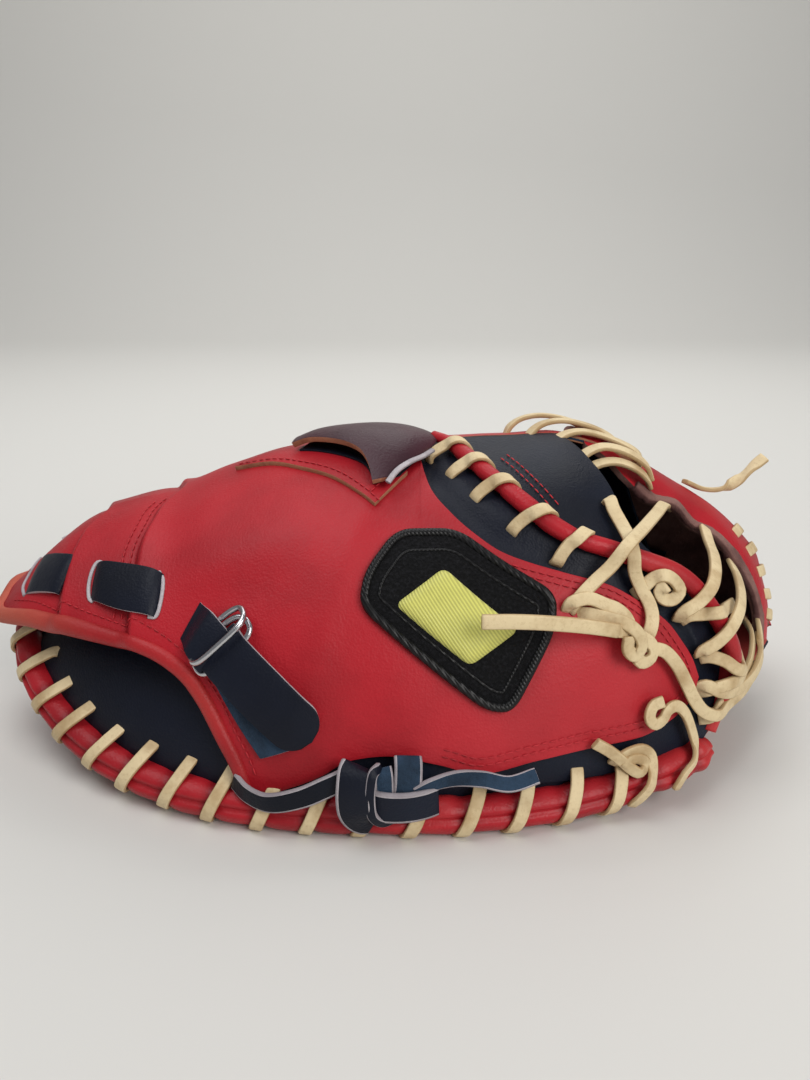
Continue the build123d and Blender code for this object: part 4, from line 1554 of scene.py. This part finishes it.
@dataclass
class Laces:
    """Every rawhide lace that isn't round a roll: web lacing, knots and free tails."""

    finishes: Finishes
    section: Array = field(default_factory=lambda: ring_section(16, 5.4, 2.2, 0.5))

    def _make(
        self, name: str, paths: Sequence[Sequence[Point]], inside: Point, size: float = 0.94
    ) -> Object:
        """One object of several laces.

        Args:
            name: the object's name.
            paths: the places that each lace passes through.
            inside: a point that the laces' flat sides face away from.
            size: width and thickness, as a share of the usual.

        Returns:
            The object.
        """
        build = Build()
        for points in paths:
            line, ups = lace_line(points, inside)
            sweep(build, line, ups, self.section * size)
        return build.to_object(name, self.finishes.lace)

    def web(self) -> None:
        """Laces between the thumb and the web."""
        inside = (105, 10, 30)
        crossing = [
            [(120, -4, 96.5), (116.2, -13, 100.8), (108, -32, 102.6), (97, -55, 103.4), (88.3, -69.6, 102),
             (82.3, -71.6, 94.6), (76.5, -73.6, 89.6), (71.7, -76.4, 85.6), (69, -77.6, 82.6),
             (67.5, -76.5, 79.5)],
            [(85.2, -42.5, 110.5), (85.8, -46.7, 112.6), (86.6, -50.5, 109.8), (89.3, -55.5, 104.9),
             (90.5, -63.2, 102), (91.4, -67.4, 97.5), (92.2, -67.6, 91), (95, -67.7, 84.5),
             (97.8, -70, 79.5), (98.2, -74.2, 75.6), (97, -76.6, 71), (95.5, -75, 67)],
            [(93, -65.5, 81), (95.2, -67, 84), (99.7, -66.2, 88), (103.2, -68, 89.8), (107.8, -66, 86.6),
             (110.2, -64.4, 82.2), (107.5, -66, 79.6), (103.4, -67.8, 80.6), (101.8, -68.6, 84),
             (104, -69, 86.4)],
            [(138, -4, 86), (134.4, -12.5, 90), (132.1, -26, 88.7), (129.2, -43, 87.9), (125.7, -56, 85.6),
             (122, -63.5, 82.6), (117.3, -66, 78.3), (111.5, -67, 74.5), (110.5, -64.5, 70.5)],
            [(111.5, -64.5, 70.5), (114, -66.2, 73.2), (120, -64.6, 73), (125.2, -66.6, 74.4),
             (131, -56, 71.5), (139, -42, 68)],
            [(150.5, -4, 71), (147, -12.5, 74.6), (145, -27, 74.1), (141.4, -43, 72.3), (136, -57, 70.3),
             (129.6, -66, 66.6), (124.8, -67.6, 62.4), (119.9, -68.4, 59.5), (119.5, -66, 57)],
            [(119.8, -66, 55.8), (123, -67.6, 57), (129.5, -66.6, 54.6), (134, -66.4, 51.4),
             (138.4, -62.5, 49), (140.4, -54, 49.4), (142.5, -44, 49.5)],
            [(162.5, -6, 50), (161.6, -14, 47), (161.3, -20, 39.4), (156.7, -30, 34.2), (146.5, -44, 32.7),
             (133.5, -60, 36.3), (126, -69, 32.4), (121, -68.5, 31)],
            [(158, -5, 46), (158.2, -16, 43.8), (154.5, -28, 39.4), (147.4, -42, 38.9), (133.5, -66, 45.4),
             (123, -69.4, 43.8), (119, -67.6, 42)],
            [(118.5, -68, 43.5), (121.8, -70, 46), (128.5, -68.4, 42.6), (138.1, -58, 37.8),
             (150.6, -42, 36.5), (159.3, -26, 38.5), (161.6, -14, 41.6)],
            [(93, -79.6, 69), (97.4, -79.4, 66.2), (102.8, -77.8, 63.9), (107.8, -77.2, 58.4),
             (112, -77, 51), (116, -76.4, 43.6), (121.5, -73.2, 36.6), (128, -69.8, 33.4),
             (134.1, -62, 33.7), (144.3, -50, 34), (154.3, -34, 35), (160.6, -22, 36.6)],
        ]
        web = self._make("web_laces", crossing, inside)
        across_web(web, "web_lace_thumb", "web_lace_finger")

    def top(self) -> None:
        """Loops of lace at the web's upper corner."""
        loops = [
            [(51, 10, 124), (53, 11, 128.5), (58, 14, 131.5), (66.5, 15, 133), (78.5, 15, 131),
             (87, 12, 126.5), (90, 11, 121)],
            [(58, 0, 122), (60.5, 1, 127.5), (66, 5, 131), (76.5, 8, 132), (92, 8, 127.5), (98, 6, 123),
             (100, 5, 118)],
            [(66, -9, 117), (68, -8, 122), (72, -4, 127), (82, 1, 128.8), (97.5, 2, 124.5), (107, 0, 119),
             (108, 0, 114)],
            [(76, -12, 110), (78, -12, 116), (82, -9, 121), (90, -7, 124), (100, -7, 122), (109, -7, 116),
             (112, -5, 110)],
            [(77, -13, 106), (79.5, -13, 111), (85.5, -11, 116.5), (94.5, -10, 118.5), (103, -10, 116),
             (109, -9, 111), (111, -7, 107)],
        ]
        made = self._make("web_top_loops", loops, (90, 10, 60))
        rides(made, "finger_half", Slot.LACE)

    def knots(self) -> None:
        """Pulled knots on the thumb panel and on the rim."""
        inside = (60, -30, 60)
        paths = [
            [(66.5, -76.5, 79.5), (67.7, -78.8, 83.4), (73.7, -77.6, 84.6), (79.7, -78, 82.4),
             (84.2, -78.2, 80.6), (88, -78.8, 77), (89.6, -80.8, 71.6), (90.5, -82.4, 66),
             (93.4, -82.6, 61.9), (97.4, -80.8, 63), (97.6, -79.8, 66.8), (93, -81.2, 71.2),
             (88, -83.4, 74), (83, -86, 75.8)],
            [(69.5, -75.5, 78), (74, -78.6, 79), (80, -81, 78.4), (85.6, -84.4, 78), (90.4, -84.4, 74.4),
             (92.6, -83.6, 69), (90.6, -84.6, 65.4), (87.4, -85.6, 68.2), (87.4, -85.4, 73.4)],
        ]
        rides(self._make("web_knot_lace", paths, inside), "thumb_half", Slot.LACE, "web_knot")
        rim = [
            [(102.4, -83.2, 46.4), (98.6, -84.4, 45.2), (97.2, -86, 41.2), (99.6, -85.4, 38.2),
             (102.8, -83.8, 39.6), (104.4, -83, 42.6), (107.7, -81, 43.4), (112.6, -77.4, 38.6),
             (116.6, -75.4, 30), (118.4, -75.4, 24), (117.4, -79.8, 19.8), (113.2, -83.4, 16.4),
             (110, -84, 10)],
            [(76.4, -93.4, 35), (82, -91.2, 30.6), (87.5, -89.4, 25.4), (91.2, -89, 21.8),
             (94.8, -88.6, 19.8), (97.2, -86.2, 22), (95, -86.8, 24.6), (91, -88.6, 25.4),
             (88.6, -89.4, 22.6)],
            [(84.6, -86.6, 22.6), (87, -88.4, 26), (90.4, -88, 28), (95, -86.4, 28.4), (99, -84.6, 25),
             (100, -86, 20), (98.8, -90, 15.4), (95.4, -90.6, 10.5), (92.6, -88.6, 6)],
        ]
        rides(self._make("rim_knot_laces", rim, (80, -40, 30), 0.84), "thumb_half", Slot.LACE, "rim_knots")

    def tails(self) -> None:
        """Free ends of lace."""
        near = [(83, -86.5, 76), (72.4, -90, 79), (59.6, -93, 81.5), (47.3, -95, 83), (34.2, -96, 83.4)]
        self._cord("lace_tail_near", near, "thumb_half")
        far = [(134, 20, 102), (143, 22, 98), (152, 24, 97.5), (161, 26, 102), (167, 28, 107), (172, 29, 111)]
        self._cord("lace_tail_far", far, "finger_half")

    def _cord(self, name: str, points: Sequence[Point], body: str) -> None:
        """One free end.

        Args:
            name: the CAD node that it stands for.
            points: the places that it passes through.
            body: the body that it leaves.
        """
        path, ups = lace_line(points, (80, 0, 60))
        build = Build()
        sweep(build, path, ups, self.section)
        made = build.to_object(name + "_lace", self.finishes.lace)
        rides(made, body, Slot.LACE, name)
        (path[0] * MM).tolist()
        (path * MM).tolist()

    def build(self) -> None:
        """Builds all of them."""
        self.web()
        self.top()
        self.knots()
        self.tails()


def across_web(obj: Object, *nodes: str) -> None:
    """A lace that reaches from the web to the thumb over the whole gap, with its placement baked into its
    mesh.
    """
    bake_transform(obj)
    settle(obj, Slot.LACE, *nodes)


@dataclass
class Strap:
    """Navy wrist strap, its wire ring and the free tail."""

    finishes: Finishes
    thick: float = 2.2
    ring_turn: float = -1.0

    def band(
        self,
        name: str,
        corners: Sequence[Sequence[Point]],
        lift: Callable,
        side: Side = Side.THUMB,
        relief: float = 1.0,
        face: Material | None = None,
    ) -> Object:
        """A leather band between two edges.

        Args:
            name: the object's name.
            corners: two edges, each a list of (x, z) places.
            lift: height above the back at each share of the band's length.
            side: which half it lies on.
            relief: how much of the back's relief it follows.
            face: its material, navy unless given.

        Returns:
            The finished band.
        """
        low, high = (spline(c, 1.0) for c in corners)
        count = max(len(low), len(high))
        share = np.linspace(0, 1, count)
        low, high = spread(low, count), spread(high, count)
        v = np.linspace(0, 1, 18)
        flat = low[:, None, :] + (high - low)[:, None, :] * v[None, :, None]
        a = SHAPE.angle(flat[..., 0], flat[..., 1])
        a = a if side is Side.THUMB else 180 - a
        cup = 0.5 * (1 - (2 * v - 1) ** 2)
        build = Build()
        build.grid(SHAPE.at(flat[..., 0], a, lift(share)[:, None] + cup, relief))
        face, edge = face or self.finishes.navy, self.finishes.pale_edge
        return leather_sheet(build, name, face, edge, self.thick, 0.4)

    @staticmethod
    def _slot_lift(low: float, high: float, arch: float) -> Callable:
        """Height of a stretch of strap that comes out of one slot and goes into the next."""
        return lambda t: low + (high - low) * t + arch * (1 - (2 * t - 1) ** 6)

    def _slot_rims(self) -> None:
        """Pale cut edges where the strap passes through the back."""
        build = Build()
        rims = [
            [(-110.3, 84.8), (-113.5, 84.4), (-114.8, 82.2), (-115.2, 77.6), (-113.9, 73.6),
             (-112.3, 73.1)],
            [(-87.6, 71.1), (-84.8, 71.6), (-83.3, 75.8), (-83.4, 82.5), (-85.5, 84.3)],
            [(-149.5, 74.3), (-151.2, 71), (-151.6, 67.9), (-148.5, 66.6)],
        ]
        for rim in rims:
            pts, ups = SHAPE.on(rim, 0.2, step=0.8)
            sweep(build, pts, ups, ring_section(10, 1.5, 1.3, 0.8))
        rides(build.to_object("strap_slot_edges", self.finishes.pale_edge), "thumb_half", Slot.RED)

    def build(self) -> None:
        """Builds the strap from the heel to the tail."""
        one = [(-149.5, 66.6), (-140, 69.6), (-128.6, 72.2)], [(-148.5, 75.6), (-136, 80.8), (-123, 84.2)]
        lift = self._slot_lift(-1.6, 0.6, 3.2)
        rides(self.band("strap_window_a", one, lift, relief=0), "thumb_half", Slot.NAVY, "wrist_strap_near")
        two = [(-114.5, 73.4), (-100, 71.6), (-84.5, 71.2)], [(-114.5, 84.4), (-100, 84.6), (-83, 84.0)]
        lift = self._slot_lift(-0.9, 2.4, 4.2)
        rides(self.band("strap_window_b", two, lift, relief=0), "thumb_half", Slot.NAVY)
        three = [(-74.7, 66.8), (-70.2, 61.2), (-65, 56)], [(-67.8, 78.8), (-61.2, 74.6), (-53, 68.6)]
        lift = lambda t: 0.2 + 6.6 * ease(t, 0, 0.45) - 3.6 * ease(t, 0.84, 1)  # noqa: E731
        rides(self.band("strap_by_ring", three, lift), "thumb_half", Slot.NAVY)
        tab = [(-62.8, 57), (-53.5, 43.5), (-43.8, 30)], [(-53, 64), (-42.5, 49.5), (-31.5, 34.4)]
        under = self.band("strap_under_tab", tab, lambda t: 2.6 + 0 * t, face=self.finishes.blue_suede)
        rides(under, "thumb_half", Slot.NAVY, "strap_under_tab")
        rides(self._tail(), "strap_tail", Slot.NAVY, "strap_tail")
        far = [(-150, 62), (-130, 69), (-86, 70), (-62, 62)], [(-148, 74), (-128, 82), (-84, 84), (-56, 76)]
        band = self.band("strap_far", far, lambda t: 2.6 + 0 * t, Side.FINGER)
        rides(band, "finger_half", Slot.NAVY, "wrist_strap_far")
        self._slot_rims()
        self._ring()

    def _tail(self) -> Object:
        """The free end of the strap, with a rounded tip."""
        half_wide, round_from = 9.8, 9
        places = [(-61, 67), (-57.3, 63.8), (-43, 52.8), (-28.8, 41.4), (-24.6, 38)]
        pts, ups = SHAPE.on(places, 6.4, step=1.0)
        run = run_along(pts)
        _, side, _ = frames(pts, ups)
        left = run[-1] - run
        round_tip = half_wide * np.sqrt(np.clip(1 - (1 - left / round_from) ** 2, 0, 1))
        half = np.where(left < round_from, round_tip, half_wide)
        v = np.linspace(-1, 1, 19)
        cup = (1 - v**2) * 0.8
        along = pts - ups * (1.6 * hill(run, 0, 5))[:, None]
        along = along - ups * (1.2 * ease(run, run[-1] - 14, run[-1]))[:, None]
        grid = along[:, None, :] + side[:, None, :] * (half[:, None] * v)[..., None]
        grid = grid + ups[:, None, :] * cup[None, :, None]
        build = Build()
        build.grid(grid)
        face, edge = self.finishes.navy, self.finishes.pale_edge
        return leather_sheet(build, "strap_tail", face, edge, self.thick, 0.4, weld=0.02)

    def _ring(self) -> None:
        """The buckle's wire, in two tilted loops."""
        build = Build()
        seat_x, seat_z = -57.4, 66.2
        a = SHAPE.angle(seat_x, seat_z)
        origin, out = SHAPE.at(seat_x, a, 7.4), SHAPE.normal(seat_x, a)
        ahead = SHAPE.at(-47.2, SHAPE.angle(-47.2, 56.6), 7.4) - origin
        ahead = unit(ahead - out * (ahead @ out))
        side = np.cross(out, ahead)
        for back, front, low, high, shift in ((-9.0, 0.6, -4.6, 2.6, 0.0), (-6.4, 4.4, -4.4, -2.6, 1.6)):
            t = np.linspace(0, 2 * math.pi, 72, endpoint=False)
            c, s = np.cos(t), np.sin(t)
            local_x = (back + front) / 2 + np.sign(c) * np.abs(c) ** 0.7 * (front - back) / 2
            local_y = np.sign(s) * np.abs(s) ** 0.6 * 13.0 + shift * self.ring_turn
            rise = low + (high - low) * (local_x - back) / (front - back) - 0.9 * (local_y / 13) ** 2
            path = origin + ahead * local_x[:, None] + side * local_y[:, None] + out * rise[:, None]
            sweep(build, path, np.tile(out, (len(t), 1)), ring_section(14, 2.3, 2.3, 1.0), closed=True)
        ring = build.to_object("buckle_ring", self.finishes.chrome, weld=0.0005)
        rides(ring, "buckle_ring", Slot.CHROME, "buckle_ring")


@dataclass
class Hood:
    """Index-finger hood and the piece sewn under it."""

    finishes: Finishes
    sewing: Sewing
    mouth: tuple = (
        (-38.5, -12, 126.8), (-32, -16, 129.8), (-26, -20, 131), (-15.6, -27, 131), (-9.5, -32, 129),
        (-6.2, -38, 125), (-4.5, -45, 119.8),
    )
    ridge: tuple = (
        (-36, -4, 128), (-28, -6, 131.5), (-20, -9, 133.4), (-6, -13, 134.6), (5, -20, 133), (6, -30, 129),
         (0, -44, 120.5),
    )
    back: tuple = (
        (-33, 4, 125), (-22, 6, 128.5), (-8, 6, 131), (8, 3, 131.5), (21, -8, 128.6), (15, -25, 125),
         (3, -42, 120.2),
    )

    def build(self) -> None:
        """Builds the hood, its raw edge and the reinforcement."""
        self._base()
        self._hole_lining_and_shade()
        self._hood()
        self._slit()

    @staticmethod
    def _curve(line: Sequence[Point], count: int) -> Array:
        """Smooth curve of count points."""
        return spread(spline(line, 0.8), count)

    @staticmethod
    def _over(flat: Array, wider: float, proud: float) -> Array:
        """Points on the back above places seen from the top.

        Args:
            flat: the (x, y) places.
            wider: how much wider than the plain arch the leather is there.
            proud: height above the leather.

        Returns:
            The points, and the angle of each round the arch.
        """
        x, y = flat[..., 0], flat[..., 1]
        angle = np.degrees(np.arccos(np.clip(-y / (SHAPE.half_width(x) + wider), -1, 1)))
        return SHAPE.at(x, angle, proud), angle

    def _base(self) -> None:
        """Red reinforcement sewn on the back under the hood."""
        left = self._curve([(-63, -9), (-46, -17), (-34, -25.5), (-18, -37), (-3.2, -50)], 60)
        right = self._curve([(-50, -4), (-30, -5), (-12, -8), (2, -18), (9, -34)], 60)
        v = np.linspace(0, 1, 26)
        flat = left[:, None, :] + (right - left)[:, None, :] * v[None, :, None]
        build = Build()
        build.grid(self._over(flat, 1.4, 2.0)[0])
        base = leather_sheet(build, "hood_reinforcement", self.finishes.red, self.finishes.tan_edge, 2.2, 0.3)
        rides(base, "thumb_half", Slot.RED, "hood_reinforcement")
        lines = []
        for edge in (flat[:, 3], flat[-5, 3:]):
            points, angle = self._over(edge, 0.0, 2.2)
            lines.append((points, SHAPE.normal(edge[:, 0], angle)))
        rides(self.sewing.lay("hood_stitches", lines), "thumb_half", Slot.RED)

    def _hole_lining_and_shade(self) -> None:
        """Navy of the lining seen through the finger hole that the hood covers, with the painted shade of the
        hole's depth, as a sheet just under the hood's mouth.
        """
        rows = [self._curve(line, 50) for line in (self.mouth, self.back)]
        t = np.linspace(0.06, 0.94, 14)[None, :, None]
        flat = (rows[0][3:-3, None, :] * (1 - t) + rows[1][3:-3, None, :] * t)[..., :2]
        build = Build()
        build.grid(self._over(flat, 2.6, 2.7)[0])
        # dark sheet: the lining's navy, also standing in for the shade deep in the hole
        dark = leather_sheet(build, "hood_opening", self.finishes.navy, None, 0.8, 0.2)
        rides(dark, "thumb_half", Slot.NAVY)

    def _hood(self) -> None:
        """The hood: an arch from its open mouth over a ridge to its sewn edge."""
        count = 70
        rows = [self._curve(line, count) for line in (self.mouth, self.ridge, self.back)]
        t = np.linspace(0, 1, 30)[None, :, None]
        a, b, c = (row[:, None, :] for row in rows)
        control = 2 * b - (a + c) / 2
        build = Build()
        build.grid((1 - t) ** 2 * a + 2 * t * (1 - t) * control + t**2 * c)
        face, edge, inside = self.finishes.hood, self.finishes.tan_edge, (-5, -18, 112)
        hood = leather_sheet(build, "index_hood", face, edge, 2.4, 0.5, inside, rough_back=True)
        rides(hood, "index_hood", Slot.HOOD, "index_hood")

    def _slit(self) -> None:
        """Pale cut edge of the back's opening beside the hood."""
        places = [(1.5, -47, 119.5), (5, -43, 123), (10, -37, 125), (15, -30, 125.5), (19, -22, 126)]
        path = spline(places, 0.8)
        build = Build()
        sweep(build, path, SHAPE.outward(path), ring_section(12, 2.4, 1.6, 0.8))
        rides(build.to_object("hood_slit_edge", self.finishes.pale_edge), "thumb_half", Slot.RED)


@dataclass
class Patch:
    """Black felt patch with a corded border and a plain embroidered rhombus."""

    finishes: Finishes
    outline: tuple = ((-8, 81), (-6, 91), (5, 103), (27, 103.5), (62, 84), (61, 73), (46, 47.5), (37, 48.5))
    rhombus: tuple = ((4, 81.5), (22, 92.5), (49, 73.5), (31, 62.5))

    @staticmethod
    def rounded(corners: Sequence[Point], radius: float, grow: float = 0.0) -> Array:
        """Closed outline with rounded corners.

        Args:
            corners: its (x, z) corners.
            radius: how far from a corner the rounding starts, where its sides are long enough.
            grow: how far the finished line is moved outward.

        Returns:
            The outline's points at equal distances.
        """
        most = 0.42  # of a side
        p = np.array(corners, float)
        line = []
        for i in range(len(p)):
            here, before, after = p[i], p[i - 1], p[(i + 1) % len(p)]
            back, on = (min(radius, most * math.dist(here, other)) for other in (before, after))
            a, b = here + unit(before - here) * back, here + unit(after - here) * on
            line.extend((1 - t) ** 2 * a + 2 * t * (1 - t) * here + t * t * b for t in np.linspace(0, 1, 9))
        line = evenly(np.array(line + line[:1]), 0.8)[:-1]
        ahead = unit(np.roll(line, -1, 0) - np.roll(line, 1, 0))
        out = np.stack([ahead[:, 1], -ahead[:, 0]], 1)
        out = out * np.sign(((line - p.mean(0)) * out).sum())
        return line + out * grow

    @staticmethod
    def _pad(ring: Array, shares: Sequence[float], proud: Sequence[float]) -> Build:
        """Domed pad on the back.

        Args:
            ring: its outline.
            shares: sizes of the rings that it is made of, from the middle outward.
            proud: height of each ring above the leather.

        Returns:
            Its outer surface.
        """
        middle = ring.mean(0)
        flat = middle + (ring[None] - middle) * np.array(shares)[:, None, None]
        build = Build()
        angle = SHAPE.angle(flat[..., 0], flat[..., 1])
        build.grid(SHAPE.at(flat[..., 0], angle, np.array(proud)[:, None]), loop=True)
        return build

    def build(self) -> None:
        """Builds felt, border and rhombus."""
        shares = [0, 0.15, 0.3, 0.45, 0.6, 0.72, 0.84, 0.93, 0.98, 1]
        ring = self.rounded(self.outline, 6)
        dome = self._pad(ring, shares, [2.2] * 7 + [2.1, 1.6, 0.2])
        felt = leather_sheet(dome, "felt_patch", self.finishes.patch, None, 1.5, 0.2)
        rides(felt, "thumb_half", Slot.FELT, "felt_patch")
        border = Build()
        for grow, wide, high, lift in ((-0.9, 3.4, 3.4, 1.7), (-6.0, 0.9, 0.6, 2.3)):
            line = self.rounded(self.outline, 6, grow)
            angle = SHAPE.angle(line[:, 0], line[:, 1])
            pts, ups = SHAPE.at(line[:, 0], angle, lift), SHAPE.normal(line[:, 0], angle)
            sweep(border, pts, ups, ring_section(14, wide, high, 0.9), closed=True)
        rides(border.to_object("patch_border", self.finishes.border, weld=0.0005), "thumb_half", Slot.FELT)
        shares = [0, 0.2, 0.4, 0.6, 0.8, 0.92, 1.0]
        dome = self._pad(self.rounded(self.rhombus, 3), shares, [4.6, 4.6, 4.5, 4.3, 3.9, 3.3, 1.9])
        made = leather_sheet(dome, "patch_emblem", self.finishes.emblem, None, 1.2, 0.2)
        rides(made, "thumb_half", Slot.EMBLEM, "patch_emblem")


@dataclass
class Thong:
    """Flat navy thong along the thumb's rim, with its knot."""

    finishes: Finishes
    runs: tuple = (
        ("left", 8.0, 2.0, 0, ((-54, -94, 20), (-49, -98.5, 17.5), (-41, -102, 16), (-29, -103.5, 19),
         (-19, -104, 24), (-10, -103, 28))),
        ("back", 10.0, 1.8, 2, ((9.0, -101, 34), (9.2, -103.4, 33), (9.2, -104.6, 29), (8.8, -104.6, 23),
         (7.6, -103, 18))),
        ("inner", 6.5, 1.6, 2, ((0.2, -103.5, 31), (0.6, -105.2, 29.5), (0.8, -105.6, 26),
         (0.8, -105.4, 21))),
        ("end", 12.5, 2.4, 0, ((-8, -104, 18.5), (-1, -106.8, 17.5), (8, -106.4, 16.8), (15, -104.6, 17),
         (19.5, -102.4, 17.4))),
        ("block", 13.0, 3.2, 0, ((-8.6, -102.4, 30.5), (-9.2, -105.6, 30), (-9.6, -107.6, 26),
         (-9.8, -108.2, 21), (-9.2, -107.6, 15.5), (-7, -105.8, 11.5), (-3.5, -104, 10))),
        ("wrap", 3.6, 2.2, 0, ((-1.0, -103.6, 31.5), (-3.0, -107.0, 31), (-3.9, -108.8, 26.5),
         (-4.1, -109.2, 21), (-3.2, -108.4, 14.5), (0.2, -106, 10.6), (3.6, -103.6, 10.4))),
        ("tail", 6.0, 1.8, 2, ((12, -103.8, 22), (18, -104, 25), (26, -103.6, 27), (35, -102.8, 26.2),
         (45, -101.6, 23.4), (55, -99.5, 25.5))),
    )

    def build(self) -> None:
        """Builds the thong."""
        build = Build()
        for name, wide, thick, slot, points in self.runs:
            line, ups = lace_line(points, (0, -30, 24), 0.8)
            if name == "tail":
                turn = np.linspace(-0.5, 1.1, len(line))[:, None]
                ups = unit(ups + np.array([0, 0, 1.0]) * turn)
            sweep(build, line, ups, ring_section(20, wide, thick, 0.4), slot, edge_slot=1)
        f = self.finishes
        made = build.to_object("thumb_thong", f.navy, f.pale_edge, f.blue_suede)
        rides(made, "thumb_half", Slot.NAVY, "thumb_thong")


# ---------------------------------------------------------------- studio
@dataclass
class Studio:
    """Floor, lights and camera."""

    floor_half: float = 6.0
    floor_near: float = -4.0
    bend_from: float = 1.4
    bend_radius: float = 0.9
    wall_top: float = 4.0
    fill: float = 0.34
    lens: float = 31.67
    sensor: float = 36.0
    eye: tuple = (0.008, -0.394, 0.212)
    tilt: float = 71.59
    lamps: tuple = (  # name, place, size, watts, tint, what it points at
        ("key", (0.75, -1.05, 0.85), 0.8, 13.0, (1.0, 0.98, 0.95), (0, 0, 0.06)),
        ("top", (-0.45, -0.25, 1.35), 0.9, 8.0, (0.97, 0.98, 1.0), (0, 0, 0.06)),
        ("back", (0.2, 1.0, 1.3), 1.0, 5.0, (1.0, 1.0, 1.0), (0, 0, 0.06)),
        ("wall", (0.0, 0.7, 1.7), 1.6, 17.0, (1.0, 0.99, 0.97), (0, 2.2, 0.7)),
    )

    def build(self) -> None:
        """Builds the plain pale surroundings."""
        bpy.context.scene.view_settings.view_transform = "Standard"
        self._floor()
        for lamp in self.lamps:
            self._lamp(*lamp)
        self._world()
        self._camera()

    def _floor(self) -> None:
        """Floor that bends up into a wall."""
        r = self.bend_radius
        turn = np.linspace(0, math.pi / 2, 24)
        bend = [(self.bend_from + r * math.sin(a), r - r * math.cos(a)) for a in turn]
        profile = [(self.floor_near, 0.0), *bend, (self.bend_from + r, self.wall_top)]
        points = [(x, y, z) for y, z in profile for x in (-self.floor_half, self.floor_half)]
        faces = [(2 * i, 2 * i + 1, 2 * i + 3, 2 * i + 2) for i in range(len(profile) - 1)]
        mesh = bpy.data.meshes.new("floor")
        mesh.from_pydata(points, [], faces)
        mesh.polygons.foreach_set("use_smooth", [True] * len(mesh.polygons))
        mesh.materials.append(PlainFinish("floor_pale", (0.66, 0.65, 0.62)).build())
        put_in_scene("floor", mesh)

    def _lamp(self, name: str, place: Point, size: float, watts: float, tint: Point, target: Point) -> None:
        """One square area light."""
        data = bpy.data.lights.new(name, "AREA")
        data.size, data.energy, data.color = size, watts, tint
        lamp = put_in_scene(name, data)
        lamp.location = place
        lamp.rotation_euler = (Vector(target) - Vector(place)).to_track_quat("-Z", "Y").to_euler()

    def _world(self) -> None:
        """Even light from all round."""
        world = bpy.data.worlds.new("room")
        world.use_nodes = True
        sky = world.node_tree.nodes["Background"]
        sky.inputs[0].default_value = (0.72, 0.73, 0.75, 1)
        sky.inputs[1].default_value = self.fill
        bpy.context.scene.world = world

    def _camera(self) -> None:
        """Camera in front of the thumb's side, looking a little down."""
        data = bpy.data.cameras.new("camera")
        data.lens, data.sensor_width, data.clip_start = self.lens, self.sensor, 0.01
        camera = put_in_scene("camera", data)
        camera.location = self.eye
        camera.rotation_euler = (math.radians(self.tilt), 0, 0)
        bpy.context.scene.camera = camera


def remove_helpers() -> None:
    """Removes the small shapes that were only copied."""
    for shape in [o for o in bpy.data.objects if o.name.startswith(("stitch_shape", "turn_shape"))]:
        bpy.data.objects.remove(shape)


def main() -> None:
    """Builds the mitt in order."""
    logging.basicConfig(level=logging.INFO, format="%(message)s")
    finishes, repeater = Finishes(), Repeater("repeat")
    sewing = Sewing(repeater, finishes)
    parts = (
        Back(finishes, sewing),
        Pocket(finishes),
        Rim(finishes, repeater),
        Crotch(finishes, sewing),
        Web(finishes),
        Laces(finishes),
        Strap(finishes),
        Hood(finishes, sewing),
        Patch(finishes),
        Thong(finishes),
    )
    for part in parts:
        log.info("building %s", type(part).__name__)
        part.build()
    remove_helpers()
    Studio().build()


if __name__ == "__main__":
    main()
